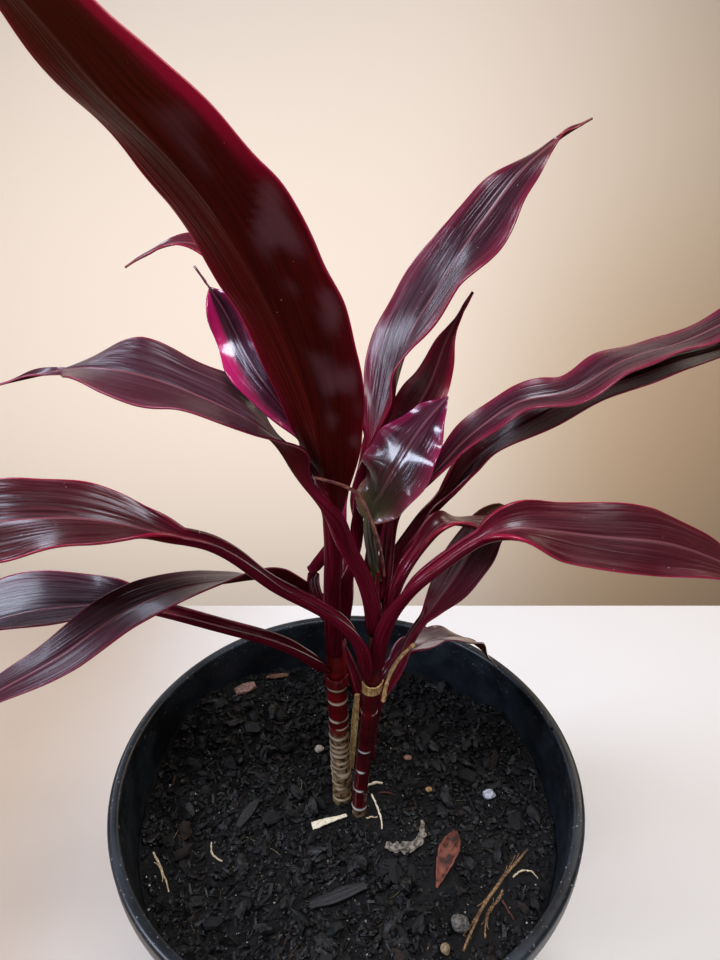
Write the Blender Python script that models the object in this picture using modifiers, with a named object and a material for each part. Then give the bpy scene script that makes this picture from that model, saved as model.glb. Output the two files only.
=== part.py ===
"""Ti plant in a round nursery pot.

The pot holds a lumpy disc of potting mix.  Two ringed canes stand in it, seventeen leaves
spring from their tops, and roots, straws, chips and stones lie on the mix.
Metres, +Z up; the origin is the middle of the pot's underside.  Tables are in millimetres.
"""
import math
import random

import bmesh
import bpy
import numpy as np
from mathutils import Vector
from mathutils.bvhtree import BVHTree

MM = 0.001
GAP = 0.3                       # clearance between neighbours
REST_GAP = 0.45                 # the same, measured at sampled points under something that lies

# Pot
POT_HEIGHT = 220.0
RIM_RADIUS = 125.0
LIP_DEPTH = 10.5                # the turned-down skirt of the rim
WALL = 1.8
FLOOR = 2.0
BASE_RADIUS = 96.8
INNER_TOP = 118.8               # inner radius where the lip starts
LIP_START = 215.0               # height of that
WALL_SLOPE = 0.1123             # radius gained for each unit of height
SIDES = 56                      # facets round the pot and the mix
DRAINS = 8
DRAIN_RADIUS = 6.0
DRAIN_CIRCLE = 80.0

# Potting mix
MIX_LEVEL = 183.0
MIX_RINGS = 13
LUMPS = 130
LUMP_SEED = 11

# Canes: axis points, radius and the height where the taper into the leaf bases starts
CANES = {
    "left": {
        "axis": [(-3, 7, 150), (-3.5, 8, 200), (-5, 10, 263), (-5, 12, 300), (-4, 13, 336)],
        "radius": 5.2,
        "taper": 296,
    },
    "right": {
        "axis": [(6, -1, 150), (7, -1.5, 200), (9.5, -2.5, 233), (12.5, -3, 278),
                 (14.5, -3, 306), (15, -2, 350)],
        "radius": 4.0,
        "taper": 300,
    },
}
CANE_TIP = 0.28                 # share of the radius left at the top
CANE_FOOT = 150.0               # how deep the canes reach into the mix
LEFT_SCARS = (187, 192, 196.5, 200, 204.5, 208, 212.5, 217, 221, 226, 230, 235, 241, 248, 260, 269.5)
RIGHT_SCARS = (190, 206, 221, 238, 265)

# Leaves
STALK_STEP = 15.0               # spacing of the rows of points along a stalk
BLADE_STEP = 11.5               # and along a blade
ACROSS = (-1.0, -0.55, 0.0, 0.55, 1.0)
BLADE = 0.8                     # thickness of a blade away from its rib
HUG = 0.65                      # from the cane's surface to the stalk's foot
FULLEST = 4.0                   # thickness that a vertex weight of one stands for

MAROON = (0.105, 0.016, 0.028)
PURPLE = (0.085, 0.022, 0.040)
PINK = (0.36, 0.022, 0.085)

# Each leaf: the cane it springs from, the height and compass angle of its foot, the points
# its rib passes, and its section.  stalk is the share of the length before the blade; width
# is the blade at its widest, at the share widest; fold and curl bend the halves up, left and
# right fold one half further, roll turns the whole section about the rib, all in degrees and
# read as ramps along the leaf; wave is the height of the margin's waves; tail is the share
# of the blade that is a narrow drip tip.
LEAVES = {
    "low_left": dict(
        cane="left", height=281, angle=208, stalk=0.394, width=40.6, widest=0.474, shoulder=0.75,
        rib=[(-30, 5, 301), (-57, 7, 310), (-87, 9, 319), (-109, 9, 324), (-126, 9, 323),
             (-148, 8, 321), (-168, 7, 316), (-203, 3, 305), (-233, 0, 290)],
        fold=[24, 29, 27], roll=[-1, -7, -20, -17, -17], wave=0.9, waves=2.6, phase=-0.5,
        stem=3.3, meat=3.0, colour=PURPLE),
    "drooping": dict(
        cane="right", height=256, angle=122, stalk=0.202, width=23.4, widest=0.445, shoulder=0.6,
        rib=[(3, 15, 271), (-4, 23, 285), (-12, 24, 307), (-27, 20, 325), (-40, 11, 339),
             (-52, 2, 344), (-64, -8, 349), (-93, -24, 347), (-116, -37, 336),
             (-146, -42, 319), (-171, -46, 304)],
        fold=[12, 10, 9], curl=[10, 0], roll=[6, 33, 72, 70, 35, 9, -8, -3, -5],
        wave=0.6, waves=3.7, phase=-0.4, meat=2.8, colour=PURPLE),
    "mid_left": dict(
        cane="right", height=290, angle=209, stalk=0.444, width=40.2, widest=0.478, shoulder=0.7,
        rib=[(0, -15, 331), (-14, -14, 342), (-29, -14, 352), (-39, -18, 365), (-56, -22, 381),
             (-67, -25, 386), (-83, -28, 393), (-107, -30, 398), (-131, -31, 397),
             (-172, -26, 386), (-217, -18, 366)],
        fold=[11, 5, 1], roll=[0, -1, -8, -13, -32, -36, -31], wave=1.3, waves=3.8, phase=1.5,
        stem=3.3, meat=3.0, colour=MAROON),
    "upper_left": dict(
        cane="right", height=317, angle=249, stalk=0.384, width=33.9, widest=0.546, shoulder=0.7,
        rib=[(10.5, -16, 349.5), (5.5, -19, 367), (0, -23.5, 382.5), (-6, -27.5, 402.5),
             (-16, -22, 414), (-23.5, -21.5, 426.5), (-37.5, -19.5, 436.5), (-56.5, -10.5, 441.5),
             (-71.5, -6, 445.5), (-94, 2.5, 446.5), (-122, 15, 440), (-143, 14, 435)],
        fold=[8, 3, 1, 1, 1], left=[6, 0, -2, 1, -2], right=[3, 6, 19, 23, 24],
        roll=[0, 0, 0, -1, -1, -16, -28, -17, -16], wave=1.6, waves=3.3, phase=0.7, tail=0.2,
        tail_width=12.8, tail_fall=1, stem=3.3, meat=3, colour=PURPLE),
    "foreground": dict(
        cane="left", height=293, angle=259, stalk=0.281, width=40.6, widest=0.499, shoulder=0.7,
        rib=[(-6, -1, 338), (-5, -4, 362), (-5, -9, 385), (-5, -16, 407), (-7, -26, 429),
             (-10, -38, 452), (-18, -54, 486), (-28, -70, 514), (-37, -84, 532),
             (-44, -98, 544), (-50, -112, 557), (-53, -123, 565), (-54, -131, 571)],
        fold=[32, 16, 14], roll=[0, -1, -3, 2, 0], wave=0.6, waves=6, phase=3.4,
        stem=3.3, meat=3.0, colour=MAROON),
    "young_pink": dict(
        cane="left", height=309, angle=164, stalk=0.469, width=20.5, widest=0.651, shoulder=0.8,
        rib=[(-16, 19.5, 334), (-8, 15.5, 349.5), (-6, 5, 378.5), (-8, -3, 400.5), (-15, -2, 417),
             (-25, -7.5, 437.5), (-37, 2.5, 452), (-45, 10.5, 466), (-55.5, 12, 483.5)],
        fold=[39, 42, 36], roll=[-8, -26, -46, -62, -63], wave=1.9, waves=3.8, phase=0.3, tail=0.1,
        tail_width=0.5, stem=2.7, hug=0.2, colour=PINK),
    "back_left": dict(
        cane="left", height=302, angle=90, stalk=0.35, width=20, widest=0.4, shoulder=0.8,
        rib=[(-4, 27, 321), (-6, 34, 344), (-12, 44, 384), (-21, 52, 422), (-38, 62, 457),
             (-53, 68, 473), (-69, 72, 480), (-84, 75, 478), (-103, 78, 468)],
        fold=[20, 12], roll=[0, 0], wave=1.0, waves=4, colour=MAROON),
    "inner_pink": dict(
        cane="left", height=323, angle=57, stalk=0.3, width=12, widest=0.5, shoulder=0.8,
        rib=[(-1, 16, 342), (-1, 18, 369), (0, 21, 390), (-2, 27, 411), (-5, 30, 433)],
        fold=[50, 40], roll=[0, 0], wave=0, waves=4, stem=1.7, colour=PINK),
    "tall_right": dict(
        cane="left", height=303, angle=345, stalk=0.385, width=38.1, widest=0.4, shoulder=0.7,
        rib=[(1, 7.5, 332), (2, 6, 348), (5, 10, 358), (5.5, 11, 372), (6.5, 13, 388),
             (10.5, 13.5, 403.5), (18.5, 24.5, 423), (28.5, 33, 450.5), (41, 41, 470),
             (51, 45.5, 485), (62, 54.5, 497), (71, 61.5, 507), (90, 74, 522), (108, 86, 530)],
        fold=[27, 25, 6, 0, 3], roll=[0, 1, 4, 7, 9, 18, 27, 27, 24], wave=1.8, waves=4.1,
        phase=2.7, tail=0.1, tail_width=0.9, stem=3.3, meat=3, colour=PURPLE),
    "small_back": dict(
        cane="right", height=326, angle=159, stalk=0.452, width=20.9, widest=0.37, shoulder=0.8,
        rib=[(11, 3, 343), (13, 13, 356), (19, 19, 382), (25, 24, 407), (37, 28, 429),
             (43, 33, 445), (49, 38, 456), (54.5, 39.5, 466.5)],
        fold=[28, 21, 22], roll=[5, 8], wave=0.6, waves=4, phase=3.2, tail=0.08, tail_width=0.6,
        stem=2.2, colour=MAROON),
    "shiny": dict(
        cane="right", height=343, angle=95, stalk=0.353, width=32.3, widest=0.422, shoulder=0.7,
        rib=[(13, 0.5, 356), (11, 0, 374), (17, -3.5, 396.5), (25, 0, 410.5), (34, 7.5, 421),
             (43.5, 13.5, 430)],
        fold=[0, 0, 0], roll=[-2, -4, -5], wave=1.4, waves=3.9, phase=-0.9, stem=1.7, colour=PINK),
    "right_upper": dict(
        cane="right", height=333, angle=51, stalk=0.225, width=23, widest=0.705, shoulder=0.7,
        rib=[(19, 3, 348), (20, 5, 363), (23, 7.5, 377.5), (37.5, 6.5, 396), (49, 8, 410),
             (61.5, 12, 420), (75, 13, 428.5), (91.5, 13.5, 431.5), (115, 24, 440.5),
             (144.5, 34, 446.5), (159.5, 37, 452.5), (188, 41.5, 466.5)],
        fold=[0, 0, 0], left=[42, 29, 16, 2, 6], roll=[2, -10, -9, -11, -20, -7], wave=0.8,
        waves=5.7, phase=0.4, stem=2.7, meat=2.8, colour=PURPLE),
    "right_lower": dict(
        cane="right", height=317, angle=109, stalk=0.299, width=23.2, widest=0.421, shoulder=0.7,
        rib=[(19, 15, 334), (25, 18, 346), (31, 19, 356), (38, 20, 367), (47, 17, 382),
             (57, 23, 393), (70, 23, 406), (85, 23, 416), (107, 32, 424), (129, 34, 431),
             (149, 40, 436), (167, 45, 439), (200, 52, 449)],
        fold=[17, 19, 16], roll=[-2, -5, -8], wave=0.4, waves=4.6, phase=1.3, stem=2.7, meat=2.8,
        colour=MAROON),
    "far_right": dict(
        cane="right", height=298, angle=290, stalk=0.372, width=31, widest=0.37, shoulder=0.6,
        rib=[(23, -16, 342), (30, -17, 354), (46, -14, 368), (66, -16, 383), (88, -15, 382),
             (112, -14, 378), (134, -13, 375), (161, -10, 364), (184, -7, 352), (209, -3, 338)],
        fold=[8, 0, 2], roll=[1, 4, 27, 48, 59, 36, 39], wave=1.2, waves=3.5, phase=-0.5,
        stem=3.3, meat=3.0, colour=MAROON),
    "folded": dict(
        cane="right", height=307, angle=18, stalk=0.244, width=20.3, widest=0.374, shoulder=0.8,
        rib=[(23, -4.5, 342.5), (27, -4, 354.5), (36, 3.5, 364.5), (43, 7, 370.5), (58, 18, 364),
             (74.5, 24, 358), (102.5, 26, 361), (133, 30, 358), (164.5, 32.5, 349.5),
             (194.5, 34, 335)],
        fold=[10, 10, 11], roll=[1, 10, -1, 9, 16, 17], wave=1.1, waves=2.6, phase=1.1, stem=2.7,
        meat=2.8, colour=MAROON),
    "hanging": dict(
        cane="right", height=226, angle=16, stalk=0.566, width=24.9, widest=0.601, shoulder=0.8,
        rib=[(15, 0, 252), (20, 1, 275), (26, 6, 283), (32, 11, 299), (42, 16, 314),
             (52, 20, 328), (61, 25, 342), (69, 31, 352), (80, 38, 361)],
        fold=[7, 6, 2], roll=[11, 53, 77], wave=0.7, waves=3, phase=1.5, stem=1.8, colour=PURPLE),
    "rim": dict(
        cane="right", height=262, angle=90, stalk=0.216, width=21.2, widest=0.3, shoulder=0.7,
        rib=[(14, 10, 265), (20, 16, 271), (26, 24, 274), (39, 32, 276), (46, 41, 272),
             (61, 51, 266), (75, 60, 253), (85, 66, 238), (92, 68, 226)],
        fold=[13, 7, 10], roll=[-2, -8, -35, -30, -37, -48, -56], wave=1.4, waves=3, phase=0.1,
        stem=2.2, colour=PINK),
}

# Things that lie on the mix.  Paths are (x, y) with heights added above the resting level.
TAN = (0.42, 0.27, 0.13)
CREAM = (0.70, 0.60, 0.44)
RUST = (0.22, 0.075, 0.045)
STRANDS = {
    # name: (points, radii, colour)
    "root_cut": ([(-19.5, -12, 0), (-13, -10, 1.2), (-6.4, -7.7, 1.0), (-0.5, -5, 0)],
                 (1.5, 1.4, 1.3, 1.1), CREAM),
    "root_short": ([(10.9, 14, 0), (15, 15.6, 0.8), (20, 16.1, 0)], (0.9, 1.1, 0.9), CREAM),
    "root_bent": ([(13.4, 7, 1.5), (16.5, 0.3, 0.6), (18.6, -7, 0.2), (19.2, -13.6, 0)],
                  (0.8, 0.8, 0.7, 0.5), CREAM),
    "root_thin": ([(10.5, -7.2, 0.4), (13.5, -6.6, 0.7), (16.6, -6.2, 0)], (0.8, 0.7, 0.5), TAN),
    "twig_back": ([(17.6, 9.6, 0.5), (22, 9.8, 1.0), (27.2, 9.0, 0)], (0.7, 0.6, 0.5), TAN),
    "straw_main": ([(96.5, -26.6, 2.0), (82.1, -40.7, 1.0), (68.1, -57, 0.5), (56.2, -76.5, 0)],
                   (0.8, 1.1, 1.1, 0.9), TAN),
    "straw_arch": ([(86.5, -41.0, 0), (91, -39.3, 2.5), (95.5, -40, 3.2), (98.4, -42.6, 1.5)],
                   (0.6, 0.6, 0.5, 0.4), CREAM),
    "straw_side": ([(79.6, -47.6, 0.6), (76, -52.6, 0.2), (70.8, -59.3, 0.3), (67.4, -70.7, 0)],
                   (0.8, 0.8, 0.7, 0.7), TAN),
    "twig_dark": ([(78.6, -52.4, 0.5), (80.6, -57, 0.4), (82.8, -61.8, 0)], (0.7, 0.6, 0.5), RUST),
    "straw_left": ([(-103.4, -27.5, 1.0), (-96.3, -37.2, 1.2), (-90.5, -48.2, 0)],
                   (0.7, 0.8, 0.6), TAN),
    "straw_curved": ([(-73.1, -23.0, 0.8), (-71.6, -28.4, 0.6), (-65.4, -32.9, 0)],
                     (0.6, 0.6, 0.5), CREAM),
}
STONES = {
    # name: (x, y, half sizes, colour)
    "pebble_pale": (80.8, 6.1, (3.6, 3.0, 2.1), (0.55, 0.57, 0.62)),
    "stone_grey": (56.0, -65.0, (4.6, 4.3, 3.2), (0.16, 0.15, 0.14)),
    "bit_tan": (47.5, -76.0, (2.4, 2.6, 2.0), (0.30, 0.24, 0.15)),
    "bit_white": (-18.0, 38.9, (2.6, 2.2, 1.9), (0.62, 0.56, 0.46)),
    "bit_back": (36.0, 33.7, (2.4, 1.8, 1.2), (0.42, 0.27, 0.22)),
    "bit_side": (46.8, 11.1, (1.9, 1.7, 1.2), (0.50, 0.36, 0.20)),
}
CHIPS = {
    # name: (x, y, length, width, thickness, turn, colour)
    "chip_pink": (-68.0, 79.0, 13.0, 8.0, 1.8, 25, (0.30, 0.17, 0.15)),
    "chip_back": (-49.0, 95.0, 14.0, 3.2, 1.4, 5, (0.30, 0.15, 0.10)),
    "bark_left": (-56.0, -5.0, 18.0, 5.5, 2.2, 62, (0.035, 0.030, 0.030)),
    "bark_front": (-4.0, -51.0, 30.0, 6.5, 2.6, 20, (0.026, 0.024, 0.026)),
}


def unit(v):
    return v / np.linalg.norm(v)


def ramp(values, share):
    return float(np.interp(share, np.linspace(0, 1, len(values)), values))


def smooth(x):
    x = min(max(x, 0.0), 1.0)
    return x * x * (3 - 2 * x)


def spline(points, shares):
    """A natural cubic spline through points, read at shares of its length."""
    p = np.array(points, float)
    h = np.linalg.norm(np.diff(p, axis=0), axis=1)
    knots = np.concatenate([[0], np.cumsum(h)])
    n = len(p)
    rows = np.eye(n)
    right = np.zeros((n, 3))
    for i in range(1, n - 1):
        rows[i, i - 1:i + 2] = h[i - 1], 2 * (h[i - 1] + h[i]), h[i]
        right[i] = 6 * ((p[i + 1] - p[i]) / h[i] - (p[i] - p[i - 1]) / h[i - 1])
    bend = np.linalg.solve(rows, right)
    t = np.linspace(0, knots[-1], 600)
    i = np.clip(np.searchsorted(knots, t) - 1, 0, n - 2)
    x = (knots[i + 1] - t)[:, None]
    y = (t - knots[i])[:, None]
    g = h[i][:, None]
    curve = (bend[i] * x ** 3 + bend[i + 1] * y ** 3) / (6 * g)
    curve += (p[i] / g - bend[i] * g / 6) * x + (p[i + 1] / g - bend[i + 1] * g / 6) * y
    run = np.concatenate([[0], np.cumsum(np.linalg.norm(np.diff(curve, axis=0), axis=1))])
    want = np.asarray(shares) * run[-1]
    return np.stack([np.interp(want, run, curve[:, j]) for j in range(3)], 1)


def rotate(v, axis, degrees):
    a = math.radians(degrees)
    return v * math.cos(a) + np.cross(axis, v) * math.sin(a) + axis * (axis @ v) * (1 - math.cos(a))


def path_length(points):
    p = np.array(points, float)
    return float(np.linalg.norm(np.diff(p, axis=0), axis=1).sum())


def cane_at(name, z):
    """The cane's middle and radius at a height."""
    cane = CANES[name]
    axis = np.array(cane["axis"], float)
    share = min(max((z - cane["taper"]) / (axis[-1, 2] - cane["taper"]), 0), 1)
    x = np.interp(z, axis[:, 2], axis[:, 0])
    y = np.interp(z, axis[:, 2], axis[:, 1])
    return np.array([x, y, z]), cane["radius"] * (1 - (1 - CANE_TIP) * share)


def leaf_sheet(spec, across, stalk_rows, blade_rows):
    """Points of the leaf's upper face, rows along the rib, and the thickness at each."""
    middle, radius = cane_at(spec["cane"], spec["height"])
    turn = math.radians(spec["angle"])
    out = np.array([math.cos(turn), math.sin(turn), 0.0])
    reach = radius + HUG + spec.get("hug", 0.0)
    path = [middle + out * reach] + [np.array(p, float) for p in spec["rib"]]
    stalk = spec["stalk"]
    shares = np.concatenate([np.linspace(0, stalk, stalk_rows, endpoint=False),
                             np.linspace(stalk, 1, blade_rows)])
    rib = spline(path, shares)
    ahead = spline(path, np.clip(shares + 0.002, 0, 1))
    behind = spline(path, np.clip(shares - 0.002, 0, 1))
    cane_top = CANES[spec["cane"]]["axis"][-1][2]
    widest, shoulder = spec["widest"], spec["shoulder"]
    fall = shoulder * (1 - widest) / widest
    tail = spec.get("tail", 0.0)
    grid = np.zeros((len(shares), len(across), 3))
    thick = np.zeros((len(shares), len(across)))
    for i, share in enumerate(shares):
        t = unit(ahead[i] - behind[i])
        lean = smooth(share / 0.12)
        up = np.array([0, 0, 1.0]) * lean - out * (1 - 0.65 * lean)
        n = unit(up - t * (up @ t))
        n = rotate(n, t, ramp(spec["roll"], share))
        b = np.cross(t, n)
        # half width: a channelled stalk that passes into a pointed blade
        q = max(0.0, (share - stalk) / (1 - stalk))
        e = min(q / (1 - tail), 1.0)
        blade = 0.0
        if q > 0:
            blade = 0.5 * spec["width"] * (e / widest) ** shoulder * ((1 - e) / (1 - widest)) ** fall
            if tail:
                drip = spec.get("tail_width", 2.0) * smooth(q / 0.3)
                drip *= (1 - q) ** spec.get("tail_fall", 0.6)
                blade = math.hypot(blade, drip)
        stem = spec.get("stem", 3.0) * (1.3 - 0.3 * smooth(share / 0.08))
        w = max(math.sqrt((stem * (1 - q) ** 0.5) ** 2 * (1 - smooth(q / 0.5)) + blade ** 2), 0.35)
        # the stalk's foot wraps the cane, its free part is a deep channel, the blade opens
        core, girth = cane_at(spec["cane"], min(rib[i][2], cane_top))
        free = smooth((np.linalg.norm(rib[i] - core) - girth - 1.0) / 4.0)
        wrap = stem / (radius + HUG)
        channel = wrap + (math.radians(95) - wrap) * free
        opened = smooth(q / 0.22)
        fold = math.radians(ramp(spec["fold"], q)) * opened
        curl = channel * (1 - opened) + math.radians(ramp(spec.get("curl", [0, 0]), q)) * opened
        if abs(curl) < 1e-3:
            curl = 1e-3
        steeper = {side: math.radians(ramp(spec.get(side, [0, 0]), q)) * opened
                   for side in ("left", "right")}
        calm = smooth(q / 0.15) * smooth((1 - q) / 0.12)
        for j, u in enumerate(across):
            v = abs(u)
            bend = fold + steeper["left" if u < 0 else "right"]
            x = w / curl * (math.sin(bend + curl * v) - math.sin(bend))
            lift = w / curl * (math.cos(bend) - math.cos(bend + curl * v))
            beat = 2 * math.pi * spec["waves"] * q + spec.get("phase", 0.0) + (0.9 if u > 0 else 0)
            lift += spec["wave"] * calm * v ** 2 * math.sin(beat)
            grid[i, j] = rib[i] + b * (math.copysign(x, u) if u else 0.0) + n * lift
            ribbed = BLADE
            if q > 0:
                ribbed += (ramp([2.0, 1.4, 0.9, 0.8], q) - 0.8) * max(0.0, 1 - 3 * v)
            solid = (1.3 + (spec.get("meat", 2.4) - 1.3) * free) * (1 - 0.35 * v)
            thick[i, j] = solid * (1 - opened) + ribbed * opened
    return grid, thick


def inner_wall(z):
    return INNER_TOP - (LIP_START - z) * WALL_SLOPE


def near_segment(x, y, a, b):
    ax, ay = a
    dx, dy = b[0] - ax, b[1] - ay
    share = ((x - ax) * dx + (y - ay) * dy) / (dx * dx + dy * dy + 1e-9)
    share = min(max(share, 0), 1)
    return math.hypot(x - ax - share * dx, y - ay - share * dy)


def mix_lumps():
    draw = random.Random(LUMP_SEED)
    lumps = []
    for _ in range(LUMPS):
        r = 112 * math.sqrt(draw.random())
        a = draw.uniform(0, 2 * math.pi)
        lumps.append((r * math.cos(a), r * math.sin(a), draw.uniform(5, 10), draw.uniform(-2.4, 3.0)))
    return lumps


def seats():
    """Places where something lies: ends of a line, and how far the flat reaches round it."""
    places = []
    for points, radii, _ in STRANDS.values():
        for a, b in zip(points, points[1:]):
            places.append((a[:2], b[:2], 2.5))
    for x, y, half, _ in STONES.values():
        places.append(((x - 0.1, y), (x + 0.1, y), half[0]))
    for x, y, length, width, _, turn, _ in CHIPS.values():
        dx = 0.35 * length * math.cos(math.radians(turn))
        dy = 0.35 * length * math.sin(math.radians(turn))
        places.append(((x - dx, y - dy), (x + dx, y + dy), width * 0.5))
    places.append(((57.4, -20), (48, -43), 6.0))
    places.append(((22, -24), (39, -22), 4.0))
    return places


def bare_relief(x, y, lumps):
    """Height of the mix without its seats: level, banked at the wall, and lumpy."""
    r = math.hypot(x, y)
    a = math.degrees(math.atan2(y, x))
    bank = smooth((r - 62) / 50)
    z = MIX_LEVEL + 15 * bank * math.exp(-((a - 143) / 26) ** 2)
    z += 8 * bank * math.exp(-((a - 30) / 15) ** 2)
    z += 0.8 * math.sin(x / 7.0 + 1.2) * math.cos(y / 8.5 - 0.5)
    for cx, cy, wide, tall in lumps:
        d = (x - cx) ** 2 + (y - cy) ** 2
        z += tall * math.exp(-d / wide ** 2)
    return z


def relief(x, y, lumps, places):
    z = bare_relief(x, y, lumps)
    for a, b, reach in places:
        d = near_segment(x, y, a, b)
        share = 1 - smooth((d - reach) / 6.0)
        if share > 0:
            level = bare_relief((a[0] + b[0]) / 2, (a[1] + b[1]) / 2, lumps)
            z += (level - z) * share
    return z


def material(name, colour, roughness, metallic=0.0):
    mat = bpy.data.materials.new(name)
    mat.use_nodes = True
    shader = mat.node_tree.nodes["Principled BSDF"]
    shader.inputs["Base Color"].default_value = (*colour, 1)
    shader.inputs["Roughness"].default_value = roughness
    shader.inputs["Metallic"].default_value = metallic
    mat.diffuse_color = (*colour, 1)
    return mat


def add_object(name, data, colour, roughness, collection):
    piece = bpy.data.objects.new(name, data)
    data.materials.append(material(name, colour, roughness))
    collection.objects.link(piece)
    return piece


def soften(mesh, degrees=50):
    mesh.shade_smooth()
    mesh.set_sharp_from_angle(angle=math.radians(degrees))


def baked(piece):
    """The piece's evaluated mesh, with loose curve caps welded."""
    graph = bpy.context.evaluated_depsgraph_get()
    mesh = bpy.data.meshes.new_from_object(piece.evaluated_get(graph))
    bm = bmesh.new()
    bm.from_mesh(mesh)
    bmesh.ops.remove_doubles(bm, verts=bm.verts, dist=0.00001)
    bm.to_mesh(mesh)
    bm.free()
    return mesh


def turned(name, profile, steps, colour, roughness, collection):
    """A closed outline in the XZ plane, at +X, swept once round Z."""
    mesh = bpy.data.meshes.new(name)
    count = len(profile)
    mesh.from_pydata([(r * MM, 0, z * MM) for r, z in profile],
                     [(i, (i + 1) % count) for i in range(count)
                      if profile[i][0] > 0 or profile[(i + 1) % count][0] > 0], [])
    piece = add_object(name, mesh, colour, roughness, collection)
    screw = piece.modifiers.new("Turn", "SCREW")
    screw.steps = steps
    screw.render_steps = steps
    screw.use_merge_vertices = True
    screw.merge_threshold = 0.00001
    screw.use_smooth_shade = True
    return piece


def tube(name, points, radii, colour, roughness, collection, fineness=2):
    """A round tube through points, with a radius at each."""
    curve = bpy.data.curves.new(name, "CURVE")
    curve.dimensions = "3D"
    curve.bevel_depth = MM
    curve.bevel_resolution = fineness
    curve.use_fill_caps = True
    run = curve.splines.new("POLY")
    run.points.add(len(points) - 1)
    for spot, point, radius in zip(run.points, points, radii):
        spot.co = (*[c * MM for c in point], 1)
        spot.radius = radius
    run.use_smooth = True
    return add_object(name, curve, colour, roughness, collection)


def strand(name, points, radii, colour, collection, rows=9):
    """A tube whose points are read off a smooth curve through the given ones."""
    shares = np.linspace(0, 1, rows)
    path = spline(points, shares)
    swell = [float(np.interp(s, np.linspace(0, 1, len(radii)), radii)) for s in shares]
    return tube(name, path, swell, colour, 0.7, collection, fineness=1)


def sheet(name, grid, thick, colour, roughness, collection):
    """A bent grid of points, split into triangles and thickened downwards."""
    rows, columns = thick.shape
    bm = bmesh.new()
    bmesh.ops.create_grid(bm, x_segments=columns - 1, y_segments=rows - 1, size=0.5)
    weights = {}
    for vert in bm.verts:
        j = round((vert.co.x + 0.5) * (columns - 1))
        i = round((vert.co.y + 0.5) * (rows - 1))
        vert.co = Vector(grid[i, j]) * MM
        weights[vert.index] = float(thick[i, j])
    bmesh.ops.triangulate(bm, faces=bm.faces, quad_method="FIXED")
    mesh = bpy.data.meshes.new(name)
    bm.to_mesh(mesh)
    bm.free()
    mesh.shade_smooth()
    piece = add_object(name, mesh, colour, roughness, collection)
    group = piece.vertex_groups.new(name="Thickness")
    for index, value in weights.items():
        group.add([index], value / FULLEST, "REPLACE")
    shell = piece.modifiers.new("Thickness", "SOLIDIFY")
    shell.thickness = FULLEST * MM
    shell.offset = -1.0
    shell.vertex_group = group.name
    shell.use_even_offset = False
    return piece


def ribbon(name, points, half_widths, thickness, roll, colour, collection, rows=10, cup=0.0):
    """A dry strip along a path: cup bends its edges up."""
    shares = np.linspace(0, 1, rows)
    path = spline(points, shares)
    ahead = spline(points, np.clip(shares + 0.01, 0, 1))
    behind = spline(points, np.clip(shares - 0.01, 0, 1))
    across = (-1.0, 0.0, 1.0)
    grid = np.zeros((rows, len(across), 3))
    for i, share in enumerate(shares):
        t = unit(ahead[i] - behind[i])
        up = np.array([0, 0, 1.0]) if abs(t[2]) < 0.8 else np.array([0, -1.0, 0])
        n = unit(up - t * (up @ t))
        n = rotate(n, t, ramp(roll, share))
        b = np.cross(t, n)
        for j, u in enumerate(across):
            w = ramp(half_widths, share)
            grid[i, j] = path[i] + b * u * w + n * abs(u) * w * cup
    thick = np.full((rows, len(across)), float(thickness))
    return sheet(name, grid, thick, colour, 0.7, collection)


def wrap(name, cane, low, high, start, end, thickness, colour, collection):
    """A dry sheath that clasps part of a cane, its upper edge slanting and flaring."""
    rows, columns = 4, 9
    grid = np.zeros((rows, columns, 3))
    for i in range(rows):
        for j in range(columns):
            v, u = i / (rows - 1), j / (columns - 1)
            z = low + (high - low) * v * (1 - 0.25 * math.sin(math.pi * u))
            middle, radius = cane_at(cane, z)
            a = math.radians(start + (end - start) * u)
            r = radius * 1.08 + GAP + thickness + 0.5 * v * v
            grid[i, j] = middle + np.array([math.cos(a), math.sin(a), 0]) * r
    thick = np.full((rows, columns), float(thickness))
    return sheet(name, grid, thick, colour, 0.6, collection)


def cane(name, scars, colour, collection):
    """A cane as a tube whose radius swells at each leaf scar."""
    spec = CANES[name]
    top = spec["axis"][-1][2]
    heights = {CANE_FOOT: 1.0, CANE_FOOT + 30: 1.0, top: 1.0}
    for z in (200, 263, 278, 300, 306, 320):
        if all(abs(z - scar) > 2 for scar in scars) and z < top:
            heights[z] = 1.0
    for scar in scars:
        heights[scar - 0.9] = 0.99
        heights[scar] = 1.08
        heights[scar + 0.8] = 0.97
    levels = sorted(heights)
    points = [cane_at(name, z)[0] for z in levels]
    radii = [cane_at(name, z)[1] * heights[z] for z in levels]
    return tube("cane_" + name, points, radii, colour, 0.55, collection, fineness=3)


def stone(name, half, colour, seed, collection):
    bm = bmesh.new()
    bmesh.ops.create_icosphere(bm, subdivisions=2, radius=1.0)
    draw = random.Random(seed)
    slants = [Vector((draw.uniform(-1, 1), draw.uniform(-1, 1), draw.uniform(-1, 1))) for _ in range(4)]
    for vert in bm.verts:
        way = vert.co.normalized()
        swell = 1 + sum(0.07 * math.sin(3 * way.dot(s) + k) for k, s in enumerate(slants))
        vert.co = Vector((way.x * half[0], way.y * half[1], way.z * half[2])) * swell * MM
    mesh = bpy.data.meshes.new(name)
    bm.to_mesh(mesh)
    bm.free()
    soften(mesh, 60)
    return add_object(name, mesh, colour, 0.6, collection)


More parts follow.
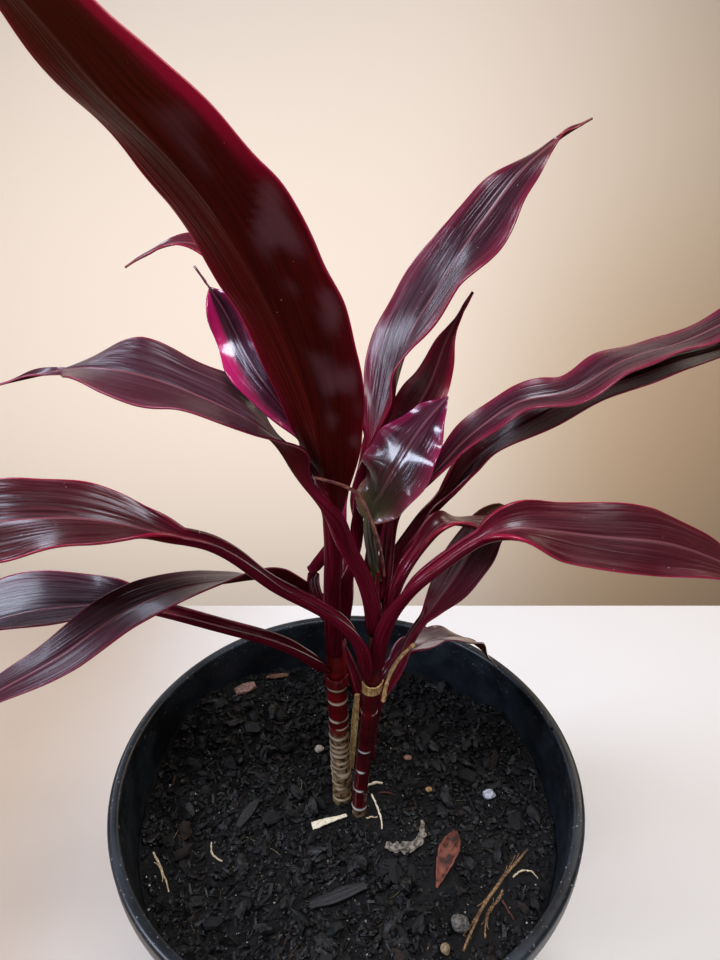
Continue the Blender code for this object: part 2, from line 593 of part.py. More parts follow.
def chip(name, length, width, thickness, turn, colour, seed, collection):
    """A splinter of bark: a box with uneven corners."""
    bm = bmesh.new()
    bmesh.ops.create_cube(bm, size=1.0)
    bmesh.ops.subdivide_edges(bm, edges=[e for e in bm.edges
                                         if abs((e.verts[0].co - e.verts[1].co).x) > 0.5], cuts=3)
    draw = random.Random(seed)
    for vert in bm.verts:
        share = vert.co.x + 0.5
        narrow = 0.45 + 0.55 * math.sin(math.pi * min(max(share, 0.08), 0.92))
        vert.co.x = vert.co.x * length + draw.uniform(-0.06, 0.06) * length
        vert.co.y = vert.co.y * width * narrow + draw.uniform(-0.1, 0.1) * width
        vert.co.z = vert.co.z * thickness + draw.uniform(-0.12, 0.12) * thickness
    angle = math.radians(turn)
    for vert in bm.verts:
        x, y = vert.co.x, vert.co.y
        vert.co.x = (x * math.cos(angle) - y * math.sin(angle)) * MM
        vert.co.y = (x * math.sin(angle) + y * math.cos(angle)) * MM
        vert.co.z *= MM
    mesh = bpy.data.meshes.new(name)
    bmesh.ops.triangulate(bm, faces=bm.faces)
    bm.to_mesh(mesh)
    bm.free()
    return add_object(name, mesh, colour, 0.85, collection)


def cutter(name, radius, depth, place, collection, segments=24, slant=(0, 0)):
    bm = bmesh.new()
    bmesh.ops.create_cone(bm, cap_ends=True, segments=segments, radius1=radius * MM,
                          radius2=radius * MM, depth=depth * MM)
    mesh = bpy.data.meshes.new(name)
    bm.to_mesh(mesh)
    bm.free()
    tool = bpy.data.objects.new(name, mesh)
    tool.location = [c * MM for c in place]
    tool.rotation_euler = (-math.atan(slant[1]), math.atan(slant[0]), 0)
    tool.hide_render = True
    tool.display_type = "WIRE"
    collection.objects.link(tool)
    return tool


def cut(piece, tool):
    hole = piece.modifiers.new(tool.name, "BOOLEAN")
    hole.operation = "DIFFERENCE"
    hole.object = tool


def rest_on(piece, ground, graph):
    """Lower the piece until its nearest point is a gap above the ground."""
    mesh = baked(piece)
    place = piece.matrix_world
    clear = []
    for vert in mesh.vertices:
        spot = place @ vert.co
        hit = ground.ray_cast(spot, Vector((0, 0, -1)))
        if hit[0] is not None:
            clear.append(spot.z - hit[0].z)
    own = BVHTree.FromPolygons([place @ v.co for v in mesh.vertices],
                               [tuple(p.vertices) for p in mesh.polygons])
    corners = [place @ Vector(c) for c in piece.bound_box]
    low = Vector((min(c.x for c in corners), min(c.y for c in corners), 0))
    high = Vector((max(c.x for c in corners), max(c.y for c in corners), 0))
    steps = 36
    for i in range(steps + 1):
        for j in range(steps + 1):
            x = low.x + (high.x - low.x) * i / steps
            y = low.y + (high.y - low.y) * j / steps
            floor_hit = ground.ray_cast(Vector((x, y, 0.3)), Vector((0, 0, -1)))
            under = own.ray_cast(Vector((x, y, 0.1)), Vector((0, 0, 1)))
            if floor_hit[0] is not None and under[0] is not None:
                clear.append(under[0].z - floor_hit[0].z)
    piece.location.z -= min(clear) - REST_GAP * MM
    bpy.data.meshes.remove(mesh)


def build():
    for old in list(bpy.data.objects):
        bpy.data.objects.remove(old)
    plant = bpy.data.collections.new("ti_plant")
    cutters = bpy.data.collections.new("cutters")
    bpy.context.scene.collection.children.link(plant)
    bpy.context.scene.collection.children.link(cutters)

    # The pot: a rolled rim with an open skirt, a tapered wall and a flat floor.
    outer_top = INNER_TOP + WALL
    skirt = POT_HEIGHT - LIP_DEPTH
    profile = [
        (RIM_RADIUS - 2.6, POT_HEIGHT), (RIM_RADIUS - 1.0, POT_HEIGHT - 0.6),
        (RIM_RADIUS, POT_HEIGHT - 2.2), (RIM_RADIUS, skirt + 0.6),
        (RIM_RADIUS - 0.9, skirt), (RIM_RADIUS - 1.8, skirt + 0.6),
        (RIM_RADIUS - 1.9, POT_HEIGHT - 3.0), (outer_top + 0.9, POT_HEIGHT - 3.0),
        (outer_top, LIP_START - 1.0), (BASE_RADIUS, 3.0), (BASE_RADIUS - 0.9, 0.8),
        (BASE_RADIUS - 2.6, 0.0), (0, 0), (0, FLOOR), (inner_wall(FLOOR), FLOOR),
        (INNER_TOP, LIP_START), (INNER_TOP + 0.2, POT_HEIGHT - 1.4), (INNER_TOP + 1.4, POT_HEIGHT),
    ]
    pot = turned("pot", profile, SIDES, (0.012, 0.016, 0.021), 0.42, plant)
    for k in range(DRAINS):
        a = 2 * math.pi * (k + 0.5) / DRAINS
        place = (DRAIN_CIRCLE * math.cos(a), DRAIN_CIRCLE * math.sin(a), FLOOR / 2)
        cut(pot, cutter(f"drain_{k}", DRAIN_RADIUS, 4 * FLOOR, place, cutters, segments=12))
    # a small nick in the rim's inner edge, on the right
    nick_angle = math.radians(12)
    nick_place = (INNER_TOP * math.cos(nick_angle), INNER_TOP * math.sin(nick_angle), POT_HEIGHT)
    cut(pot, cutter("nick", 1.7, 5.0, nick_place, cutters, segments=5))

    # The potting mix: a turned disc whose top is then raised by the relief.
    edge = inner_wall(MIX_LEVEL) - GAP - 0.1
    foot = inner_wall(FLOOR + GAP) - GAP - 0.1
    rings = [(edge * (k / MIX_RINGS) ** 0.85, MIX_LEVEL) for k in range(MIX_RINGS + 1)]
    outline = rings + [(foot, FLOOR + GAP), (0, FLOOR + GAP)]
    disc = turned("disc", outline, SIDES, (0.012, 0.010, 0.010), 0.95, plant)
    mesh = baked(disc)
    bpy.data.objects.remove(disc)
    lumps = mix_lumps()
    places = seats()
    for vert in mesh.vertices:
        x, y, z = vert.co / MM
        if z < MIX_LEVEL - 1:
            continue
        height = relief(x, y, lumps, places)
        r = math.hypot(x, y)
        if r > edge - 0.5:
            grow = (inner_wall(height) - GAP - 0.1) / r
            x, y = x * grow, y * grow
        vert.co = Vector((x, y, height)) * MM
    soften(mesh, 40)
    mesh.materials.clear()
    mix = add_object("potting_mix", mesh, (0.012, 0.010, 0.010), 0.95, plant)
    for name in CANES:
        lower, radius = cane_at(name, CANE_FOOT)
        upper, _ = cane_at(name, 200)
        slant = (upper - lower) / (upper[2] - lower[2])
        middle = lower + slant * 30
        depth = 60 + 2 * 0.45
        cut(mix, cutter(f"well_{name}", radius * 1.08 + GAP + 0.12, depth, middle, cutters,
                        slant=(slant[0], slant[1])))

    cane("left", LEFT_SCARS, (0.20, 0.085, 0.050), plant)
    cane("right", RIGHT_SCARS, (0.16, 0.012, 0.022), plant)

    for name, spec in LEAVES.items():
        length = path_length(spec["rib"]) + 20
        stalk_rows = max(4, round(length * spec["stalk"] / STALK_STEP))
        blade_rows = max(8, round(length * (1 - spec["stalk"]) / BLADE_STEP))
        grid, thick = leaf_sheet(spec, ACROSS, stalk_rows, blade_rows)
        sheet("leaf_" + name, grid, thick, spec["colour"], 0.35, plant)

    wrap("sheath_left", "left", 271.5, 279.7, 200, 330, 0.8, (0.17, 0.015, 0.022), plant)
    wrap("sheath_dry", "right", 280, 287.5, 205, 345, 0.7, TAN, plant)
    tube("stalk_dry", spline([(18.6, -7, 276), (21, -6.5, 291), (27, -4.5, 303), (33, -3, 309)],
                             np.linspace(0, 1, 7)),
         (1.4, 1.5, 1.4, 1.3, 1.2, 1.0, 0.7), TAN, 0.7, plant, fineness=1)
    ribbon("strip_dry", [(5.7, -4, 277), (4.6, -3.4, 261), (3.6, -1, 240), (2.6, 2, 214)],
           (1.2, 1.7, 1.4, 0.8), 0.7, (0, 12, -8), TAN, plant, cup=0.25)
    strand("strand_torn", [(-10, -28.7, 415), (-4, -30, 414), (5, -28.5, 408.5), (10, -25.5, 397.5),
                           (14.5, -20, 380), (17.5, -12.5, 357)],
           (0.5, 0.7, 0.8, 0.8, 0.7, 0.6), (0.38, 0.12, 0.11), plant, rows=11)

    # What lies on the mix is made above its place and lowered onto it.
    bpy.context.view_layer.update()
    graph = bpy.context.evaluated_depsgraph_get()
    ground = BVHTree.FromObject(mix, graph)
    lying = []
    above = 230.0
    for name, (points, radii, colour) in STRANDS.items():
        lying.append(strand(name, [(x, y, z + above) for x, y, z in points], radii, colour, plant,
                            rows=3 * len(points) - 2))
    for k, (name, (x, y, half, colour)) in enumerate(STONES.items()):
        piece = stone(name, half, colour, 20 + k, plant)
        piece.location = (x * MM, y * MM, above * MM)
        lying.append(piece)
    for k, (name, (x, y, length, width, thickness, turn, colour)) in enumerate(CHIPS.items()):
        piece = chip(name, length, width, thickness, turn, colour, 40 + k, plant)
        piece.location = (x * MM, y * MM, above * MM)
        lying.append(piece)
    lying.append(ribbon("leaf_dead", [(59.4, -15.5, above), (55.5, -26, above + 1.5),
                                      (50.5, -37, above + 1), (46, -47.3, above + 0.5)],
                        (2.0, 6.0, 5.0, 0.8), 0.8, (0, 8, 0), RUST, plant, cup=0.45))
    lying.append(ribbon("scrap_papery", [(20.7, -23.9, above), (30, -25.7, above),
                                         (38.3, -22.5, above + 0.5), (41.5, -9.7, above + 1)],
                        (1.6, 2.6, 2.4, 0.8), 0.8, (0, 0), (0.20, 0.18, 0.15), plant, cup=0.2))
    bpy.context.view_layer.update()
    for piece in lying:
        rest_on(piece, ground, graph)


build()
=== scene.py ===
# %% [markdown]
# A ti plant in a nursery pot, built round its imported CAD model.
# The CAD model says where every piece is. This script loads it as a fixed frame, then makes a
# finer, better finished piece for each node, and hides the CAD node that each one stands for.

# %% Load the frame
import math
import random
from functools import partial
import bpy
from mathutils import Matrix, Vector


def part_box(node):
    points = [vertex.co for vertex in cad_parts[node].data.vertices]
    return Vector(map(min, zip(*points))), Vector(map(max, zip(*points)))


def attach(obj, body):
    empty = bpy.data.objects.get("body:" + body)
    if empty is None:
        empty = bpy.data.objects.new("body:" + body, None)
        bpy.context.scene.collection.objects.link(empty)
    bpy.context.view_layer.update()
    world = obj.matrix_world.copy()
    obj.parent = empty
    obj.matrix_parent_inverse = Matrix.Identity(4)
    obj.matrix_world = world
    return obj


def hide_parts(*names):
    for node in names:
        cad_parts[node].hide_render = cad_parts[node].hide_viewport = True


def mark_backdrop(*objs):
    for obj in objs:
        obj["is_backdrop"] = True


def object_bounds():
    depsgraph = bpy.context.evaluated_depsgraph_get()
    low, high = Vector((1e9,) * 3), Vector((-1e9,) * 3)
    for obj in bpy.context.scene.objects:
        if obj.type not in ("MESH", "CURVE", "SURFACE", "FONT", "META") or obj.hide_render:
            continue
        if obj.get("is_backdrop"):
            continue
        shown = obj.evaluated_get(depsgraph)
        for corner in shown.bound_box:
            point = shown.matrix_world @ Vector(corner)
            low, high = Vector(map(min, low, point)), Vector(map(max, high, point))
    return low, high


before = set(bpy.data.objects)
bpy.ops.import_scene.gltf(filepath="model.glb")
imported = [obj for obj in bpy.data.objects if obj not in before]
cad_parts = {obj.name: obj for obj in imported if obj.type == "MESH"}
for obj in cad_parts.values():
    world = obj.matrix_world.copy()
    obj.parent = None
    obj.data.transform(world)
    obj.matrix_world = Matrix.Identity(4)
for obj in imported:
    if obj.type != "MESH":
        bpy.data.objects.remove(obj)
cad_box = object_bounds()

from types import SimpleNamespace

import bmesh
import bpy
import numpy as np
from mathutils import Vector, noise

MM = 0.001
print("nodes:", len(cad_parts), " CAD box:", [tuple(round(c, 4) for c in p) for p in cad_box])

# %% [markdown]
# A camera shows an object at the angle of its photograph only if its height, tilt and lens
# agree. Here the pot's rim gives all three: its ellipse is as flat as a circle seen from
# 29.5 degrees above, and its width against its height in the picture gives the lens. The
# standard view transform keeps the deep darks and clean whites of an ordinary snapshot.

# %% Camera
LENS_MM = 27.0
TILT = 29.5
bpy.ops.object.camera_add(location=(0.007, -0.264, 0.547), rotation=(math.radians(90 - TILT), 0, 0))
camera = bpy.context.object
camera.name = "camera"
camera.data.lens = LENS_MM
camera.data.sensor_width = 36.0
camera.data.clip_start = 0.01
bpy.context.scene.camera = camera
bpy.context.scene.view_settings.view_transform = "Standard"
print("camera", tuple(round(c, 3) for c in camera.location), "lens", LENS_MM)

# %% [markdown]
# Every colour here is written as the hex value that a paint program shows. Blender's shaders
# work in linear light, so one function turns the hex value into what they need. Another adds a
# shader node: each of its sockets is given a value, or the output that feeds it, and what comes
# back is the node's output, or the list of them where it has several.

# %% Colour and node helpers
PAINT = {"data_type": "RGBA"}                  # setting of a node that lays a colour on another
SOFT = {"interpolation_type": "SMOOTHSTEP"}    # setting of a node that eases between two limits
TIMES = {"operation": "MULTIPLY"}              # settings of a node that works with numbers
TIMES_PLUS = {"operation": "MULTIPLY_ADD"}


def tint(code):
    """An sRGB hex value as linear RGBA."""
    parts = [int(code[i:i + 2], 16) / 255 for i in (0, 2, 4)]
    return (*[c / 12.92 if c <= 0.04045 else ((c + 0.055) / 1.055) ** 2.4 for c in parts], 1.0)


def feed(node, sockets):
    """Gives each socket of a node its value, or the output that feeds it."""
    for key, value in sockets.items():
        if isinstance(value, bpy.types.NodeSocket):
            node.id_data.links.new(value, node.inputs[key])
        else:
            node.inputs[key].default_value = value


def add(tree, kind, sockets=None, **settings):
    """Adds a shader node with its settings, values and links, and returns what it puts out."""
    made = tree.nodes.new("ShaderNode" + kind)
    for key, value in settings.items():
        setattr(made, key, value)
    feed(made, sockets or {})
    live = [out for out in made.outputs if out.enabled]
    return live[0] if len(live) == 1 else live


def finish_named(name, roughness, ior=1.45):
    """A material, what adds a node to it, and its shader."""
    material = bpy.data.materials.new(name)
    material.use_nodes = True
    shader = material.node_tree.nodes["Principled BSDF"]
    feed(shader, {"Roughness": roughness, "IOR": ior})
    return material, partial(add, material.node_tree), shader


print("burgundy in linear light:", [round(c, 3) for c in tint("7A1F35")])

# %% [markdown]
# Every piece starts as a primitive, or as points worked out beforehand. It is worked on in edit
# mode and marked with numbers that its material reads. At the end it gets its finish, and the
# CAD node that it stands for is hidden.

# %% Mesh helpers
def primitive(maker, name, **settings):
    """A primitive with a name, the only thing selected."""
    bpy.ops.object.select_all(action="DESELECT")
    maker(**settings)
    bpy.context.object.name = name
    return bpy.context.object


def alone(piece):
    """Selects one piece and nothing else."""
    bpy.ops.object.select_all(action="DESELECT")
    piece.select_set(True)
    bpy.context.view_layer.objects.active = piece


def linked(name, data):
    """A piece made of a mesh or a curve."""
    piece = bpy.data.objects.new(name, data)
    bpy.context.scene.collection.objects.link(piece)
    return piece


def edit(*steps):
    """Takes steps in edit mode on the whole mesh, each an operator and its settings."""
    bpy.ops.object.mode_set(mode="EDIT")
    for operator, settings in steps:
        bpy.ops.mesh.select_all(action="SELECT")
        operator(**settings)
    bpy.ops.object.mode_set(mode="OBJECT")


def points_of(mesh):
    """The places of a mesh's points."""
    spots = np.zeros(len(mesh.vertices) * 3)
    mesh.vertices.foreach_get("co", spots)
    return spots.reshape(-1, 3)


def mark(piece, key, values):
    """Keeps three numbers for each point in an attribute."""
    piece.data.attributes.new(key, "FLOAT_VECTOR", "POINT").data.foreach_set("vector", np.ravel(values))


def dress(piece, node, slot, *finishes):
    """Gives a piece its finishes, hangs it under the root, and hides the CAD node, if any, that it replaces.
    """
    for finish in finishes:
        piece.data.materials.append(finish)
    if node:
        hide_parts(node)
    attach(piece, "root")


print("helpers ready: the tables are in millimetres, and one of them is", MM, "m")

# %% [markdown]
# The plant stands on a plain pale table top in front of a plain warm wall. The table ends
# behind the pot, where the photograph's does, and the wall is far enough back that the camera
# can go all round the plant. Both carry painted shade: the wall grows darker towards the right,
# most in its lower right corner, as a wall looks that is lit from one side, and the table top
# grows darker towards its left.

# %% Table and wall
TABLE_END = 0.403
WALL_BACK = 1.75


def slab(name, place, size):
    """A plain slab from a cube."""
    piece = primitive(bpy.ops.mesh.primitive_cube_add, name, size=1, location=place, scale=size)
    bpy.ops.object.transform_apply(location=True, scale=True)
    return piece


table = slab("table_top", (0, TABLE_END - 2.0, -0.016), (6, 4, 0.03))
wall = slab("wall", (0, WALL_BACK + 0.05, 0.4), (8, 0.1, 6))

paint, put, shader = finish_named("lacquered_board", 0.5)
where = put("TexCoord")[3]
side, _, _ = put("SeparateXYZ", {0: where})
mottle, _ = put("TexNoise", {"Vector": where, "Scale": 6.0, "Detail": 3.0})
# painted shade: the table top grows darker towards its left
left = put("MapRange", {0: side, 1: -0.02, 2: -0.34}, **SOFT)
shade = put("Mix", {0: left, 6: tint("FAF7F3"), 7: tint("C6B098")}, **PAINT)
faint = put("MapRange", {0: mottle, 1: 0.3, 2: 0.9, 3: 0.0, 4: 0.1}, **SOFT)
feed(shader, {"Base Color": put("Mix", {0: faint, 6: shade, 7: tint("FFFFFF")}, **PAINT)})
table.data.materials.append(paint)

paint, put, shader = finish_named("matt_emulsion", 0.8)
side, _, height = put("SeparateXYZ", {0: put("TexCoord")[3]})
# painted shade: the wall grows darker towards the right, and darker still in its lower right corner
right = put("MapRange", {0: side, 1: 0.1, 2: 1.15}, **SOFT)
low = put("MapRange", {0: height, 1: 0.5, 2: -0.35}, **SOFT)
shade = put("Mix", {0: right, 6: tint("F0E4D8"), 7: tint("D6C3AC")}, **PAINT)
corner = put("Math", {0: right, 1: low}, **TIMES)
feed(shader, {"Base Color": put("Mix", {0: corner, 6: shade, 7: tint("CCB092")}, **PAINT)})
wall.data.materials.append(paint)
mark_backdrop(table, wall)
print("table ends", TABLE_END, "m behind the pot's middle, wall at", WALL_BACK)

# %% [markdown]
# Soft daylight makes the bluish sheen on the upper faces of the leaves. Light that reaches the
# lens off those faces comes from the left, so two soft boxes stand there, one beside the plant
# and one behind it. A third hangs overhead, a warm one behind on the right throws the pot's soft
# shadow to the front left, and the last one washes the wall. The room itself stays dim, because
# a bright one would lay a grey haze on every dark leaf.

# %% Lights
LIGHTS = (
    # name, place, aimed at, size in metres, watts, colour
    ("sky_over", (0.14, -0.36, 1.6), (0.05, -0.1, 0.3), (0.5, 0.5), 15.0, "F4F5FF"),
    ("window_side", (-1.0, -0.28, 1.06), (0.0, 0.0, 0.4), (0.32, 0.6), 12.0, "E2EAFF"),
    ("window_left", (-1.02, 1.08, 1.3), (0.0, 0.0, 0.38), (0.3, 0.5), 5.0, "E2EAFF"),
    ("warm_right", (0.95, 1.0, 1.35), (0.0, 0.0, 0.1), (0.7, 0.7), 7.0, "FFF0DC"),
    ("wall_wash", (-0.5, 0.75, -0.2), (-0.5, WALL_BACK, -0.2), (3.0, 1.6), 21.5, "FFF8F0"),
)
for name, place, aim, size, watts, code in LIGHTS:
    bpy.ops.object.light_add(type="AREA", location=place)
    lamp = bpy.context.object
    lamp.name = name
    lamp.data.shape = "RECTANGLE"
    lamp.data.size, lamp.data.size_y = size
    lamp.data.energy = watts
    lamp.data.color = tint(code)[:3]
    lamp.rotation_euler = (Vector(aim) - Vector(place)).to_track_quat("-Z", "Y").to_euler()
    lamp.visible_camera = False
world = bpy.data.worlds.new("room")
world.use_nodes = True
feed(world.node_tree.nodes["Background"], {"Color": tint("F3EAE0"), "Strength": 0.07})
bpy.context.scene.world = world
print("lights:", len(LIGHTS), "total watts:", sum(row[4] for row in LIGHTS))

# %% [markdown]
# Two canes carry the plant. A cane is a bending, slowly tapering rod, so it is written down as
# a few points of its axis. Everything that grows from it asks for its middle and radius at a
# height, in millimetres.

# %% Canes as rods
CANES = {
    "left": dict(axis=[(-3, 7, 150), (-3.5, 8, 200), (-5, 10, 263), (-5, 12, 300), (-4, 13, 336)],
                 radius=5.2, taper=296),
    "right": dict(axis=[(6, -1, 150), (7, -1.5, 200), (9.5, -2.5, 233), (12.5, -3, 278),
                        (14.5, -3, 306), (15, -2, 350)], radius=4.0, taper=300),
}
CANE_TIP = 0.28
CANE_FOOT = 150.0


def cane_at(name, z):
    """The cane's middle and radius at a height."""
    rod = CANES[name]
    axis = np.array(rod["axis"], float)
    share = min(max((z - rod["taper"]) / (axis[-1, 2] - rod["taper"]), 0), 1)
    x = np.interp(z, axis[:, 2], axis[:, 0])
    y = np.interp(z, axis[:, 2], axis[:, 1])
    return np.array([x, y, z]), rod["radius"] * (1 - (1 - CANE_TIP) * share)


print("right cane at 250 mm:", cane_at("right", 250))

# %% [markdown]
# A leaf's rib is a smooth curve through a few points. A natural cubic spline has no sudden
# change of bend, as a grown rib has none, and reading it at even shares of its length gives
# rows of mesh points that are evenly spaced. At each of them the sheet needs two directions
# square to the curve: out of its face, and across it.

# %% Curves and easing
def unit(v):
    return v / np.linalg.norm(v)


def ramp(values, share):
    return float(np.interp(share, np.linspace(0, 1, len(values)), values))


def smooth(x):
    x = np.clip(x, 0, 1)
    return x * x * (3 - 2 * x)


def waver(x, y, z):
    """Blender's smooth noise at a place, from -1 to 1."""
    return noise.noise(Vector((x, y, z)))


def spline(points, shares):
    """A natural cubic spline through points, read at shares of its length."""
    p = np.array(points, float)
    h = np.linalg.norm(np.diff(p, axis=0), axis=1)
    knots = np.concatenate([[0], np.cumsum(h)])
    n = len(p)
    rows = np.eye(n)
    right = np.zeros((n, 3))
    for i in range(1, n - 1):
        rows[i, i - 1:i + 2] = h[i - 1], 2 * (h[i - 1] + h[i]), h[i]
        right[i] = 6 * ((p[i + 1] - p[i]) / h[i] - (p[i] - p[i - 1]) / h[i - 1])
    bend = np.linalg.solve(rows, right)
    t = np.linspace(0, knots[-1], 1200)
    i = np.clip(np.searchsorted(knots, t) - 1, 0, n - 2)
    x = (knots[i + 1] - t)[:, None]
    y = (t - knots[i])[:, None]
    g = h[i][:, None]
    curve = (bend[i] * x ** 3 + bend[i + 1] * y ** 3) / (6 * g)
    curve += (p[i] / g - bend[i] * g / 6) * x + (p[i + 1] / g - bend[i + 1] * g / 6) * y
    run = np.concatenate([[0], np.cumsum(np.linalg.norm(np.diff(curve, axis=0), axis=1))])
    want = np.asarray(shares) * run[-1]
    return np.stack([np.interp(want, run, curve[:, j]) for j in range(3)], 1)


def track(points, shares, reach):
    """A spline read at shares of its length, with its direction at each of them."""
    ahead, behind = (spline(points, np.clip(shares + step, 0, 1)) for step in (reach, -reach))
    return spline(points, shares), [unit(way) for way in ahead - behind]


def out_and_across(t, up, degrees):
    """The directions out of a sheet's face and across it: t runs along, and up is turned about t."""
    n = unit(up - t * (up @ t))
    a = math.radians(degrees)
    n = n * math.cos(a) + np.cross(t, n) * math.sin(a) + t * (t @ n) * (1 - math.cos(a))
    return n, np.cross(t, n)


print("a quarter, half, three quarters:", [round(float(smooth(x)), 2) for x in (0.25, 0.5, 0.75)])

# %% [markdown]
# Each leaf is one row of a table. The rib's points were placed against the photograph, seen
# through this camera. Width and widest give the blade's outline; fold and curl bend its halves
# up; roll twists it about its rib; wave is the height of the waves of its margin. The last few
# values are for its finish: slot, how glossy, how quilted, and how pink, dry or green along it.

# %% Leaf table
def leaf(cane, height, angle, stalk, width, widest, shoulder, rib, fold, roll, wave, waves, phase,
         slot, gloss, pink, stem=3, meat=2.4, hug=0, curl=(0,), left=(0,), right=(0,), tail=0,
         tail_width=2, tail_fall=0.6, quilt=0, glow=0.04, band=(0, 1, 1), pink_left=(0,), tan=(0,),
         olive=(0,)):
    """One row of the table, with its values named."""
    return SimpleNamespace(**locals())


